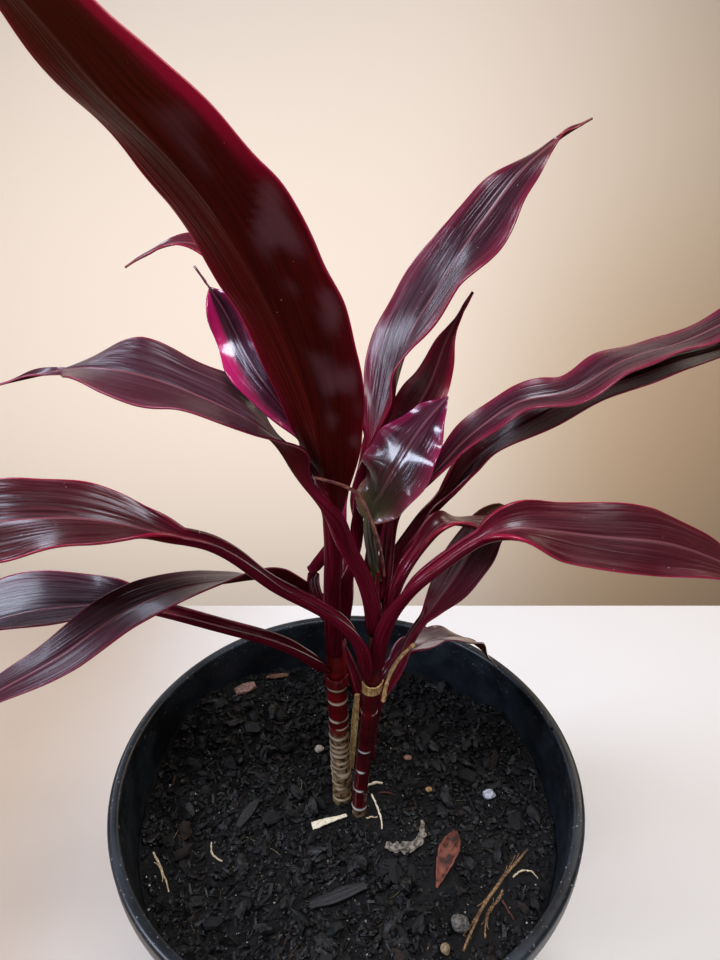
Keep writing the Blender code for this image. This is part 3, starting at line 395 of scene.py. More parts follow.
LEAVES = {
    "low_left": leaf("left", 281, 208, 0.394, 40.6, 0.474, 0.75,
        [(-30, 5, 301), (-57, 7, 310), (-87, 9, 319), (-109, 9, 324), (-126, 9, 323), (-148, 8, 321),
         (-168, 7, 316), (-203, 3, 305), (-233, 0, 290)],
        [24, 29, 27], [-1, -7, -20, -17, -17], 0.9, 2.6, -0.5, "leaf_purple", 0.45, [0, 0], stem=3.3,
        meat=3),
    "drooping": leaf("right", 256, 122, 0.202, 23.4, 0.445, 0.6,
        [(3, 15, 271), (-4, 23, 285), (-12, 24, 307), (-27, 20, 325), (-40, 11, 339), (-52, 2, 344),
         (-64, -8, 349), (-93, -24, 347), (-116, -37, 336), (-146, -42, 319), (-171, -46, 304)],
        [12, 10, 9], [6, 33, 72, 70, 35, 9, -8, -3, -5], 0.6, 3.7, -0.4, "leaf_purple", 0.15,
        [0.12, 0.03, 0.03, 0.08], curl=[10, 0], meat=2.8),
    "mid_left": leaf("right", 290, 209, 0.444, 40.2, 0.478, 0.7,
        [(0, -15, 331), (-14, -14, 342), (-29, -14, 352), (-39, -18, 365), (-56, -22, 381),
         (-67, -25, 386), (-83, -28, 393), (-107, -30, 398), (-131, -31, 397), (-172, -26, 386),
         (-217, -18, 366)],
        [11, 5, 1], [0, -1, -8, -13, -32, -36, -31], 1.3, 3.8, 1.5, "leaf_maroon", 0.6,
        [0.05, 0, 0, 0.05], stem=3.3, meat=3, pink_left=[0, 0, 0, 0.1]),
    "upper_left": leaf("right", 317, 249, 0.384, 33.9, 0.546, 0.7,
        [(10.5, -16, 349.5), (5.5, -19, 367), (0, -23.5, 382.5), (-6, -27.5, 402.5), (-16, -22, 414),
         (-23.5, -21.5, 426.5), (-37.5, -19.5, 436.5), (-56.5, -10.5, 441.5), (-71.5, -6, 445.5),
         (-94, 2.5, 446.5), (-122, 15, 440), (-143, 14, 435)],
        [8, 3, 1, 1, 1], [0, 0, 0, -1, -1, -16, -28, -17, -16], 1.6, 3.3, 0.7, "leaf_purple", 0.15,
        [0.05, 0.02, 0.03, 0.08], left=[6, 0, -2, 1, -2], right=[3, 6, 19, 23, 24], tail=0.2,
        tail_width=12.8, tail_fall=1, stem=3.3, meat=3, pink_left=[0.05, 0.05, 0.05, 0.05]),
    "foreground": leaf("left", 293, 259, 0.281, 40.6, 0.499, 0.7,
        [(-6, -1, 338), (-5, -4, 362), (-5, -9, 385), (-5, -16, 407), (-7, -26, 429), (-10, -38, 452),
         (-18, -54, 486), (-28, -70, 514), (-37, -84, 532), (-44, -98, 544), (-50, -112, 557),
         (-53, -123, 565), (-54, -131, 571)],
        [32, 16, 14], [0, -1, -3, 2, 0], 0.6, 6, 3.4, "leaf_maroon", 0.45, [0.05, 0], stem=3.3, meat=3,
        glow=0.12, band=(0.9, 0.7, 0.6), quilt=4, tan=[0, 0, 0, 0.06]),
    "young_pink": leaf("left", 309, 164, 0.469, 20.5, 0.651, 0.8,
        [(-16, 19.5, 334), (-8, 15.5, 349.5), (-6, 5, 378.5), (-8, -3, 400.5), (-15, -2, 417),
         (-25, -7.5, 437.5), (-37, 2.5, 452), (-45, 10.5, 466), (-55.5, 12, 483.5)],
        [39, 42, 36], [-8, -26, -46, -62, -63], 1.9, 3.8, 0.3, "leaf_pink", 1, [0, 0], tail=0.1,
        tail_width=0.5, stem=2.7, hug=0.2, glow=0.5, band=(1, 0.4, 0.45)),
    "back_left": leaf("left", 302, 90, 0.35, 20, 0.4, 0.8,
        [(-4, 27, 321), (-6, 34, 344), (-12, 44, 384), (-21, 52, 422), (-38, 62, 457), (-53, 68, 473),
         (-69, 72, 480), (-84, 75, 478), (-103, 78, 468)],
        [20, 12], [0, 0], 1, 4, 0, "leaf_maroon", 0.4, [0.3, 0.15, 0.08]),
    "inner_pink": leaf("left", 323, 57, 0.3, 12, 0.5, 0.8,
        [(-1, 16, 342), (-1, 18, 369), (0, 21, 390), (-2, 27, 411), (-5, 30, 433)],
        [50, 40], [0, 0], 0, 4, 0, "leaf_pink", 1, [0.8, 1, 0.9], stem=1.7),
    "tall_right": leaf("left", 303, 345, 0.385, 38.1, 0.4, 0.7,
        [(1, 7.5, 332), (2, 6, 348), (5, 10, 358), (5.5, 11, 372), (6.5, 13, 388), (10.5, 13.5, 403.5),
         (18.5, 24.5, 423), (28.5, 33, 450.5), (41, 41, 470), (51, 45.5, 485), (62, 54.5, 497),
         (71, 61.5, 507), (90, 74, 522), (108, 86, 530)],
        [27, 25, 6, 0, 3], [0, 1, 4, 7, 9, 18, 27, 27, 24], 1.8, 4.1, 2.7, "leaf_purple", 0.7,
        [0.08, 0, 0, 0.12], tail=0.1, tail_width=0.9, stem=3.3, meat=3, glow=0.25,
        tan=[0, 0, 0, 0, 0.25]),
    "small_back": leaf("right", 326, 159, 0.452, 20.9, 0.37, 0.8,
        [(11, 3, 343), (13, 13, 356), (19, 19, 382), (25, 24, 407), (37, 28, 429), (43, 33, 445),
         (49, 38, 456), (54.5, 39.5, 466.5)],
        [28, 21, 22], [5, 8], 0.6, 4, 3.2, "leaf_maroon", 0.35, [0, 0.05, 0.2], tail=0.08,
        tail_width=0.6, stem=2.2, glow=0.4),
    "shiny": leaf("right", 343, 95, 0.353, 32.3, 0.422, 0.7,
        [(13, 0.5, 356), (11, 0, 374), (17, -3.5, 396.5), (25, 0, 410.5), (34, 7.5, 421),
         (43.5, 13.5, 430)],
        [0, 0, 0], [-2, -4, -5], 1.4, 3.9, -0.9, "leaf_pink", 1, [0, 0, 0.05], stem=1.7, glow=0.3,
        olive=[0.9, 0.15, 0, 0]),
    "right_upper": leaf("right", 333, 51, 0.225, 23, 0.705, 0.7,
        [(19, 3, 348), (20, 5, 363), (23, 7.5, 377.5), (37.5, 6.5, 396), (49, 8, 410), (61.5, 12, 420),
         (75, 13, 428.5), (91.5, 13.5, 431.5), (115, 24, 440.5), (144.5, 34, 446.5), (159.5, 37, 452.5),
         (188, 41.5, 466.5)],
        [0, 0, 0], [2, -10, -9, -11, -20, -7], 0.8, 5.7, 0.4, "leaf_purple", 0.65, [0.05, 0.03, 0.03],
        left=[42, 29, 16, 2, 6], stem=2.7, meat=2.8, glow=0.3),
    "right_lower": leaf("right", 317, 109, 0.299, 23.2, 0.421, 0.7,
        [(19, 15, 334), (25, 18, 346), (31, 19, 356), (38, 20, 367), (47, 17, 382), (57, 23, 393),
         (70, 23, 406), (85, 23, 416), (107, 32, 424), (129, 34, 431), (149, 40, 436), (167, 45, 439),
         (200, 52, 449)],
        [17, 19, 16], [-2, -5, -8], 0.4, 4.6, 1.3, "leaf_maroon", 0.5, [0.05, 0, 0.05], stem=2.7,
        meat=2.8),
    "far_right": leaf("right", 298, 290, 0.372, 31, 0.37, 0.6,
        [(23, -16, 342), (30, -17, 354), (46, -14, 368), (66, -16, 383), (88, -15, 382),
         (112, -14, 378), (134, -13, 375), (161, -10, 364), (184, -7, 352), (209, -3, 338)],
        [8, 0, 2], [1, 4, 27, 48, 59, 36, 39], 1.2, 3.5, -0.5, "leaf_maroon", 0.25,
        [0.12, 0.03, 0.06, 0.2], stem=3.3, meat=3),
    "folded": leaf("right", 307, 18, 0.244, 20.3, 0.374, 0.8,
        [(23, -4.5, 342.5), (27, -4, 354.5), (36, 3.5, 364.5), (43, 7, 370.5), (58, 18, 364),
         (74.5, 24, 358), (102.5, 26, 361), (133, 30, 358), (164.5, 32.5, 349.5), (194.5, 34, 335)],
        [10, 10, 11], [1, 10, -1, 9, 16, 17], 1.1, 2.6, 1.1, "leaf_maroon", 0.4, [0.1, 0.1], stem=2.7,
        meat=2.8),
    "hanging": leaf("right", 226, 16, 0.566, 24.9, 0.601, 0.8,
        [(15, 0, 252), (20, 1, 275), (26, 6, 283), (32, 11, 299), (42, 16, 314), (52, 20, 328),
         (61, 25, 342), (69, 31, 352), (80, 38, 361)],
        [7, 6, 2], [11, 53, 77], 0.7, 3, 1.5, "leaf_purple", 0.5, [0.3, 0.1, 0.05], stem=1.8,
        tan=[0, 0, 0, 0, 0.9]),
    "rim": leaf("right", 262, 90, 0.216, 21.2, 0.3, 0.7,
        [(14, 10, 265), (20, 16, 271), (26, 24, 274), (39, 32, 276), (46, 41, 272), (61, 51, 266),
         (75, 60, 253), (85, 66, 238), (92, 68, 226)],
        [13, 7, 10], [-2, -8, -35, -30, -37, -48, -56], 1.4, 3, 0.1, "leaf_pink", 0.35,
        [0.1, 0.05, 0, 0], stem=2.2, tan=[0, 0.1, 0.3, 0.75]),
}
print("leaves:", len(LEAVES))

# %% [markdown]
# A leaf is one bent sheet. Near the cane it wraps the stem; then it is a deep channel, the
# stalk; then it opens into the blade. Working out each point of a grid of rows and columns
# gives that exactly, where pulling points by hand would take hours a leaf. Columns stand
# closer at the rib and at the margin, where the shape changes fastest.

# %% Shape of a leaf
HUG = 0.65                      # from the cane's surface to the stalk's foot
BLADE = 0.8                     # thickness of a blade
SKIN = 1.3                      # thickness of a stalk where it wraps its cane
RIDGE = (2.0, 1.4, 0.9, 0.8)    # thickness at the rib, along the blade
CHANNEL = 95                    # how far a free stalk's channel bends up on each side, in degrees
LEAVES_CANE = (1.0, 4.0)        # clearance at which a stalk starts to open, and over how much more
GROOVE = (0.35, 0.9)            # depth and half the width of the groove over the rib
RIPPLE = 0.22                   # height of the ripples of a blade
RIPPLE_SIZE = (9.0, 15.0)       # their width and length
LEAD = 0.9                      # how far the right margin's waves are ahead of the left's, in radians
HALF = (0, 0.04, 0.1, 0.18, 0.28, 0.4, 0.52, 0.64, 0.75, 0.85, 0.92, 0.965, 1)
ACROSS = [-u for u in HALF[:0:-1]] + list(HALF)


def ripple_at(side, along, seed):
    """Noise for the ripples of a blade, at millimetres across and along."""
    return waver(side / RIPPLE_SIZE[0], along / RIPPLE_SIZE[1], seed * 7.7)


def half_blade(spec, q):
    """Half the width of a blade at a share of its length: an oval, and a thin tip beyond it."""
    if q <= 0:
        return 0.0
    e = min(q / (1 - spec.tail), 1.0)
    fall = spec.shoulder * (1 - spec.widest) / spec.widest
    rise = (e / spec.widest) ** spec.shoulder
    blade = 0.5 * spec.width * rise * ((1 - e) / (1 - spec.widest)) ** fall
    drip = spec.tail_width * smooth(q / 0.3) * (1 - q) ** spec.tail_fall if spec.tail else 0.0
    return math.hypot(blade, drip)


def leaf_points(spec, stalk_rows, blade_rows, seed):
    """Grid of the upper face, thickness at each point, and where each point is on the leaf."""
    middle, radius = cane_at(spec.cane, spec.height)
    turn = math.radians(spec.angle)
    out = np.array([math.cos(turn), math.sin(turn), 0.0])
    path = [middle + out * (radius + HUG + spec.hug), *spec.rib]
    stalk = spec.stalk
    shares = np.concatenate([np.linspace(0, stalk, stalk_rows, endpoint=False),
                             np.linspace(stalk, 1, blade_rows)])
    rib, ways = track(path, shares, 0.002)
    length = float(np.linalg.norm(np.diff(rib, axis=0), axis=1).sum())
    cane_top = CANES[spec.cane]["axis"][-1][2]
    thick = np.zeros((len(shares), len(ACROSS)))
    grid, real, part = np.zeros((3, *thick.shape, 3))
    for i, (share, t) in enumerate(zip(shares, ways)):
        lean = smooth(share / 0.12)
        up = np.array([0, 0, 1.0]) * lean - out * (1 - 0.65 * lean)
        n, b = out_and_across(t, up, ramp(spec.roll, share))
        q = max(0.0, (share - stalk) / (1 - stalk))
        stem = spec.stem * (1.3 - 0.3 * smooth(share / 0.08))
        w = (stem * (1 - q) ** 0.5) ** 2 * (1 - smooth(q / 0.5)) + half_blade(spec, q) ** 2
        w = max(math.sqrt(w), 0.35)
        # where the leaf has left its cane its channel opens, and then it becomes a blade
        core, girth = cane_at(spec.cane, min(rib[i][2], cane_top))
        free = smooth((np.linalg.norm(rib[i] - core) - girth - LEAVES_CANE[0]) / LEAVES_CANE[1])
        wrap = stem / (radius + HUG)
        channel = wrap + (math.radians(CHANNEL) - wrap) * free
        opened = smooth(q / 0.22)
        fold = math.radians(ramp(spec.fold, q)) * opened
        curl = channel * (1 - opened) + math.radians(ramp(spec.curl, q)) * opened
        if abs(curl) < 1e-3:
            curl = 1e-3
        steeper = [math.radians(ramp(side, q)) * opened for side in (spec.right, spec.left)]
        calm = smooth(q / 0.15) * smooth((1 - q) / 0.12)
        for j, u in enumerate(ACROSS):
            v = abs(u)
            bend = fold + steeper[u < 0]
            x = w / curl * (math.sin(bend + curl * v) - math.sin(bend))
            lift = w / curl * (math.cos(bend) - math.cos(bend + curl * v))
            beat = 2 * math.pi * spec.waves * q + spec.phase + (LEAD if u > 0 else 0)
            lift += spec.wave * calm * v ** 2 * math.sin(beat)
            side = math.copysign(x, u) if u else 0.0
            # ripples of the blade between the rib and the margin, and the groove over the rib
            ripple = RIPPLE * (1 + spec.quilt * (1 if u < 0 else 0.3))
            lift += ripple * calm * smooth(v / 0.5) * ripple_at(side, share * length, seed)
            lift -= GROOVE[0] * opened * calm * math.exp(-(side / GROOVE[1]) ** 2)
            grid[i, j] = rib[i] + b * side + n * lift
            ribbed = BLADE
            if q > 0:
                ribbed += (ramp(RIDGE, q) - BLADE) * max(0.0, 1 - 3 * v)
            solid = (SKIN + (spec.meat - SKIN) * free) * (1 - 0.35 * v)
            thick[i, j] = solid * (1 - opened) + ribbed * opened
            real[i, j] = w * u, share * length, seed
            part[i, j] = u, (share - stalk) / (1 - stalk), 1.0
    return grid, thick, real, part


print("columns across a leaf:", len(ACROSS))

# %% [markdown]
# The grid becomes a mesh from Blender's own grid primitive, whose points are moved to their
# places. A Solidify modifier then gives the sheet its thickness, fleshy at the stalk and thin in
# the blade. Each point also keeps where it is on the leaf, in millimetres and in shares, as two
# attributes, so that the material can draw veins along the blade and colour its margin.

# %% From points to a leaf
FULLEST = 4.0                   # thickness that a vertex weight of one stands for
STALK_ROW = 2.6                 # millimetres from row to row
BLADE_ROW = 2.2


def sheet(name, grid, thick, attributes):
    """A closed shell from a bent grid and its thickness, and how many points its top has."""
    rows, columns = thick.shape
    piece = primitive(bpy.ops.mesh.primitive_grid_add, name, x_subdivisions=columns - 1,
                      y_subdivisions=rows - 1, size=1)
    mesh = piece.data
    mesh.name = name
    spots = points_of(mesh) + 0.5
    j = np.rint(spots[:, 0] * (columns - 1)).astype(int)
    i = np.rint(spots[:, 1] * (rows - 1)).astype(int)
    mesh.vertices.foreach_set("co", (grid[i, j] * MM).ravel())
    group = piece.vertex_groups.new(name="Thickness")
    for index, value in enumerate(thick[i, j]):
        group.add([index], float(value) / FULLEST, "REPLACE")
    for key, values in attributes.items():
        mark(piece, key, values[i, j])
    shell = piece.modifiers.new("Thickness", "SOLIDIFY")
    shell.thickness = FULLEST * MM
    shell.offset = -1.0
    shell.vertex_group = group.name
    shell.use_even_offset = False
    upper = len(mesh.vertices)
    bpy.ops.object.modifier_apply(modifier=shell.name)
    piece.vertex_groups.clear()
    bpy.ops.object.shade_smooth()
    return piece, upper


def leaf_tone(spec, u, q):
    """How pink, with painted backlight at the margins, how dry and how green a blade is, u across it and q
    along it.
    """
    pink = ramp(spec.pink, q) + (ramp(spec.pink_left, q) if u < 0 else 0)
    # inside the margins the pink is partly the leaf's own and partly painted backlight shining through the
    # thin blade (glow); band is painted backlight along one margin
    pink += spec.glow * smooth((abs(u) - 0.5) / 0.45)
    strength, start_u, start_q = spec.band
    pink += strength * smooth((-u - start_u) / 0.2) * smooth((q - start_q) / 0.2)
    return [min(pink, 1), ramp(spec.tan, q), ramp(spec.olive, q)]


def bloom(u, q, side, along, seed):
    """How much painted sheen the humps of a quilted blade get, on the half that faces the light."""
    hump = 0.6 * smooth(2.0 * ripple_at(side, along, seed))
    hump = hump * smooth((-u - 0.1) / 0.3) * smooth((1 + u) / 0.2)
    return hump * smooth(q / 0.2) * smooth((0.85 - q) / 0.2)


def make_leaf(name, spec, seed):
    """A leaf and how many points its top has. The rest are marked as the under side."""
    run = np.linalg.norm(np.diff(np.array(spec.rib, float), axis=0), axis=1).sum() + 20
    stalk_rows = max(12, round(run * spec.stalk / STALK_ROW))
    blade_rows = max(30, round(run * (1 - spec.stalk) / BLADE_ROW))
    grid, thick, real, part = leaf_points(spec, stalk_rows, blade_rows, seed)
    tone = np.array([[leaf_tone(spec, u, max(q, 0)) for u, q, _ in row] for row in part])
    # on a quilted blade the third tone carries the painted sheen on its humps in place of the green foot
    if spec.quilt:
        for at in np.ndindex(thick.shape):
            tone[at][2] = bloom(*part[at][:2], *real[at])
    piece, upper = sheet("leaf_" + name, grid, thick,
                         {"leaf_mm": real, "leaf_share": part, "leaf_tone": tone})
    marks = piece.data.attributes
    shine = marks.new("leaf_gloss", "FLOAT", "POINT")
    shine.data.foreach_set("value", [float(spec.gloss)] * len(piece.data.vertices))
    for point in marks["leaf_share"].data[upper:]:
        point.vector[2] = 0.0
    # the painted sheen stays on the under side only
    if spec.quilt:
        for point in marks["leaf_tone"].data[:upper]:
            point.vector[2] = 0.0
    return piece, upper


leaves = {name: make_leaf(name, spec, seed) for seed, (name, spec) in enumerate(LEAVES.items())}
print("leaf faces:", sum(len(piece.data.polygons) for piece, _ in leaves.values()))

# %% [markdown]
# A ti leaf has a waxy skin, the cuticle, over dark maroon flesh. Fine veins leave the rib at a
# low angle and run out to the margin, so a noise stretched along them gives the streaks of
# colour, and as a bump it breaks every highlight into the same streaks. The margin is a thin
# crimson line. The pink inside it is partly the leaf's own and partly painted backlight shining
# through the thin blade. The under side is browner and has no wax, so it is a finish of its own
# that shines less, and on a quilted blade its humps carry a painted sheen. What differs from leaf
# to leaf, pink growth with that painted backlight, dry tips, a green foot and the painted sheen,
# was written into the attribute leaf_tone.

# %% Leaf finish
VEINS = 18.0                    # veins across half a blade
DRIFT = 0.05                    # how far they move outwards in a millimetre of the way along
RIB, DRY, DUST = "9A5A60", "8C6038", "C8A890"
# BLOOM is the colour of the painted sheen on the humps of a quilted under side
GREEN, BLOOM = "5F6236", "7C505A"
SHADES = {
    # slot: colours of the face, its streaks, the under side and the margin, and how waxy it is
    "leaf_purple": ("2E101A", "56303C", "30100C", "A81E46", 0.15),
    "leaf_maroon": ("340E13", "5A242A", "3A0E08", "C21442", 0.12),
    "leaf_pink": ("34101A", "6C303A", "4C0E1C", "D42060", 1.0),
}


def leaf_skin(name, face, light, under, margin, wax):
    """Leaf skin: colours of the face, its streaks, the under side and the margin, and its wax."""
    skin, put, shader = finish_named(name, 0.3, 1.42)
    millimetres, shares, tones = (put("Attribute", attribute_name="leaf_" + key)[1]
                                  for key in ("mm", "share", "tone"))
    across, along, seed = put("SeparateXYZ", {0: millimetres})
    u, q, upper = put("SeparateXYZ", {0: shares})
    # olive is the green foot, and on a quilted under side the painted sheen on its humps
    pink, tan, olive = put("SeparateXYZ", {0: tones})
    gloss = put("Attribute", attribute_name="leaf_gloss")[2]
    near, wide = (put("Math", {0: value}, operation="ABSOLUTE") for value in (across, u))
    # the veins' own coordinates: lane across, millimetres along, and another noise for each half
    lane = put("Math", {0: along, 1: -DRIFT, 2: put("Math", {0: wide, 1: VEINS}, **TIMES)}, **TIMES_PLUS)
    half = put("Math", {0: seed, 1: 9.0, 2: put("Math", {0: u}, operation="SIGN")}, **TIMES_PLUS)
    run = put("CombineXYZ", {0: lane, 1: put("Math", {0: along, 1: 0.02}, **TIMES), 2: half})
    veins, _ = put("TexNoise", {"Vector": run, "Scale": 1.0, "Detail": 3.0, "Roughness": 0.6})
    pleats, _ = put("TexNoise", {"Vector": run, "Scale": 0.45, "Detail": 1.0})
    broad, _ = put("TexNoise", {"Vector": run, "Scale": 0.22, "Detail": 2.0})
    streak = put("MapRange", {0: veins, 1: 0.36, 2: 0.7}, **SOFT)
    patch = put("MapRange", {0: broad, 1: 0.35, 2: 0.65, 3: 0.85, 4: 0.25}, **SOFT)
    # upper face: dark, with paler streaks that fade in and out, pink that is partly painted
    # backlight at the margins, and a paler line along the rib
    thin = put("Math", {0: streak, 1: patch}, **TIMES)
    line = put("MapRange", {0: near, 1: 0.8, 2: 0.25, 3: 0.0, 4: 0.5}, **SOFT)
    above = tint(face)
    for share, code in ((thin, light), (pink, margin), (line, RIB)):
        above = put("Mix", {0: share, 6: above, 7: tint(code)}, **PAINT)
    # under side: browner, with the streaks only just showing and a blush of that pink and painted backlight
    faint, blush = (put("Math", {0: value, 1: part}, **TIMES) for value, part in ((streak, 0.4), (pink, 0.7)))
    below = tint(under)
    for share, code in ((faint, "66180E"), (blush, margin)):
        below = put("Mix", {0: share, 6: below, 7: tint(code)}, **PAINT)
    # stalk: burgundy, with painted shade that makes its under side nearly black-red
    stalk = put("MapRange", {0: q, 1: 0.1, 2: -0.03}, **SOFT)
    burgundy = put("Mix", {0: streak, 6: tint("560819"), 7: tint("A22846")}, **PAINT)
    lit = put("Math", {0: upper, 1: 0.5, 2: 0.5}, **TIMES_PLUS)
    burgundy = put("Mix", {0: lit, 6: tint("34040E"), 7: burgundy}, **PAINT)
    # the very edge is a crimson line; last come the green foot of a young blade, the painted sheen
    # on the humps of a quilted under side, the dry tip of an old one, and dust
    edge = put("MapRange", {0: wide, 1: 0.955, 2: 0.99, 3: 0.0, 4: 0.6}, **SOFT)
    specks, _ = put("TexNoise", {"Vector": millimetres, "Scale": 0.7, "Detail": 1.0})
    dust = put("MapRange", {0: specks, 1: 0.79, 2: 0.83, 3: 0.0, 4: 0.7}, **SOFT)
    colour = below
    for share, coat in ((upper, above), (edge, tint(margin)), (stalk, burgundy),
                        (olive, tint(GREEN if wax else BLOOM)), (tan, tint(DRY)), (dust, tint(DUST))):
        colour = put("Mix", {0: share, 6: colour, 7: coat}, **PAINT)
    # young leaves are smoother, and the valleys between the veins are duller
    rough = put("Math", {0: streak, 1: 0.1, 2: put("MapRange", {0: gloss, 3: 0.36, 4: 0.14})}, **TIMES_PLUS)
    # the veins crowd together where the blade narrows, so their relief gets lower there
    half_width = put("Math", {0: near, 1: wide}, operation="DIVIDE")
    room = put("MapRange", {0: half_width, 1: 3.0, 2: 15.0, 3: 0.05, 4: 1.0})
    relief = put("Math", {0: veins, 1: 0.35, 2: pleats}, **TIMES_PLUS)
    relief = put("Math", {0: relief, 1: room}, **TIMES)
    feed(shader, {"Base Color": colour, "Roughness": put("Mix", {0: stalk, 2: rough, 3: 0.24}),
                  "Normal": put("Bump", {"Strength": 0.8, "Distance": 0.0008, "Height": relief})})
    if wax:
        feed(shader, {"Coat Weight": wax, "Coat Roughness": 0.14, "Coat Tint": tint("E4E8FF")})
    else:
        feed(shader, {"Specular IOR Level": 0.01})
    return skin


skins = {slot: (leaf_skin("waxy_" + slot, *shades), leaf_skin("matt_under_" + slot, *shades[:4], 0))
         for slot, shades in SHADES.items()}
for name, (piece, upper) in leaves.items():
    slot = LEAVES[name].slot
    dress(piece, "leaf_" + name, slot, *skins[slot])
    for face in piece.data.polygons:
        face.material_index = int(min(face.vertices) >= upper)
print("leaf finishes:", list(skins))

# %% [markdown]
# A cane keeps a ring wherever a leaf has fallen. A cylinder primitive is cut into many thin
# levels, then each level is moved onto the cane's axis and given its radius: a sharp lip at a
# ring, a shallow waist above it. Every ring leans its own way. The left cane is old and barky
# below, so its rings stand close; the right one is young and red, with thin white rings.

# %% Canes
RINGS = {
    "left": (187, 192, 196.5, 200, 204.5, 208, 212.5, 217, 221, 226, 230, 235, 241, 248, 260, 269.5),
    "right": (190, 206, 221, 238, 265),
}
BARK_TOP = {"left": (243, 12), "right": (192, 8)}     # bark ends below this height, over this much
LEVEL = 0.45                    # height of one level
LIP = (0.45, 0.55)              # height of the lip at a ring, and half its width
WAIST = (0.22, 1.3, 0.9)        # depth of the waist, how far above its ring, and half its width


def make_cane(name, seed):
    """A ringed cane with how pale and how barky each point is in the attribute cane_mark."""
    top = CANES[name]["axis"][-1][2]
    levels = round((top - CANE_FOOT) / LEVEL)
    piece = primitive(bpy.ops.mesh.primitive_cylinder_add, "cane_" + name, vertices=32, radius=1, depth=1)
    bpy.ops.object.mode_set(mode="EDIT")
    bpy.ops.mesh.select_all(action="DESELECT")
    bm = bmesh.from_edit_mesh(piece.data)
    for edge in bm.edges:
        edge.select = abs(edge.verts[0].co.z - edge.verts[1].co.z) > 0.5
    bmesh.update_edit_mesh(piece.data)
    bpy.ops.mesh.subdivide(number_cuts=levels - 1)
    bpy.ops.object.mode_set(mode="OBJECT")
    draw = random.Random(seed)
    leans = [(draw.uniform(-1, 1), draw.uniform(-1, 1), draw.uniform(0.4, 1.5)) for _ in RINGS[name]]
    end, fade = BARK_TOP[name]
    marks = []
    for vert in piece.data.vertices:
        angle = math.atan2(vert.co.y, vert.co.x)
        cos, sin = math.cos(angle), math.sin(angle)
        z = CANE_FOOT + (vert.co.z + 0.5) * (top - CANE_FOOT)
        middle, radius = cane_at(name, z)
        swell, pale = 0.0, 0.0
        for ring, (lx, ly, strong) in zip(RINGS[name], leans):
            away = z - ring - lx * cos - ly * sin + 0.25 * waver(3 * cos, 3 * sin, ring)
            swell += LIP[0] * strong * math.exp(-(away / LIP[1]) ** 2)
            swell -= WAIST[0] * math.exp(-((away - WAIST[1]) / WAIST[2]) ** 2)
            wide = 0.62 if name == "right" else 0.5 + 0.5 * strong
            pale = max(pale, math.exp(-(away / wide) ** 2) * min(strong + 0.2, 1))
        rough = waver(2 * cos, 2 * sin, z / 3.0)
        bark = smooth((end - z) / fade)
        r = (radius + swell + rough * (0.10 + 0.30 * bark)) * np.hypot(vert.co.x, vert.co.y)
        vert.co = Vector(middle + r * np.array([cos, sin, 0])) * MM
        marks.append((pale, bark, 0.5 + 0.5 * waver(0.3, 0.7, z / 4.5)))
    mark(piece, "cane_mark", marks)
    bpy.ops.object.shade_smooth_by_angle(angle=math.radians(60))
    return piece


canes = {"left": make_cane("left", 3), "right": make_cane("right", 5)}
print("cane faces:", [len(p.data.polygons) for p in canes.values()])

# %% [markdown]
# Young cane skin is dark red and smooth, with a cream scar at each ring. Old skin has turned to
# tan cork with dark cracks, and its scars have gone tan. One material reads both from the attribute.

# %% Cane finish
def cane_skin(name, red, lit, ring):
    """Skin of a cane: its shades between the rings and the colour of the scars."""
    skin, put, shader = finish_named(name, 0.34)
    pale, bark, shade = put("SeparateXYZ", {0: put("Attribute", attribute_name="cane_mark")[1]})
    where = put("TexCoord")[3]
    # fibres run up the cane, about half a millimetre apart
    stretch = put("Mapping", {"Vector": where, "Scale": (1.0, 1.0, 0.16)})
    fibre, _ = put("TexNoise", {"Vector": stretch, "Scale": 1900.0, "Detail": 3.0})
    flecks, _ = put("TexNoise", {"Vector": where, "Scale": 420.0, "Detail": 4.0})
    worn = put("MapRange", {0: flecks, 1: 0.36, 2: 0.64}, **SOFT)
    cork = put("Mix", {0: worn, 6: tint("3A281A"), 7: tint("B09068")}, **PAINT)
    old = put("MapRange", {0: bark, 3: 0.0, 4: 0.55})
    scar = put("Mix", {0: old, 6: tint(ring), 7: tint("CDB088")}, **PAINT)
    lip = put("MapRange", {0: pale, 1: 0.35, 2: 0.75}, **SOFT)
    colour = tint(red)
    for share, coat in ((shade, tint(lit)), (bark, cork), (lip, scar)):
        colour = put("Mix", {0: share, 6: colour, 7: coat}, **PAINT)
    feed(shader, {"Base Color": colour, "Roughness": put("MapRange", {0: bark, 3: 0.26, 4: 0.8}),
                  "Normal": put("Bump", {"Strength": 0.3, "Distance": 0.0004, "Height": fibre})})
    return skin


for name, slot, *colours in (("left", "cane_ringed", "4C060E", "A61C22", "FFEFD2"),
                             ("right", "cane_red", "2C040A", "700E1A", "FFFAF4")):
    dress(canes[name], "cane_" + name, slot, cane_skin("cane_skin_" + name, *colours))
print("canes dressed")

# %% [markdown]
# The pot is one moulding of black polypropylene: a rolled rim with a turned-down skirt, a
# tapered wall and a flat floor with drain holes. Its wall's outline is drawn once as a row of
# points and spun round the middle, as a lathe would. The holes are then cut from below.

# %% Pot
RIM = 125.0
HEIGHT = 220.0
INNER_TOP = 118.8
LIP_START = 215.0
WALL_SLOPE = 0.1123
FLOOR = 2.0
SPIN_STEPS = 160
DRAINS = 8
DRAIN_RADIUS = 6.0
DRAIN_RING = 80.0               # from the pot's middle to the middle of a drain hole
NICK_TURN = 12                  # where the nick in the rim is, in degrees from +X
NICK_RADIUS = 1.7


def inner_wall(z):
    return INNER_TOP - (LIP_START - z) * WALL_SLOPE


def arc(cx, cz, r, start, end, count):
    """Points of an arc in the outline, in degrees from +X."""
    turns = [math.radians(start + (end - start) * k / (count - 1)) for k in range(count)]
    return [(cx + r * math.cos(a), cz + r * math.sin(a)) for a in turns]


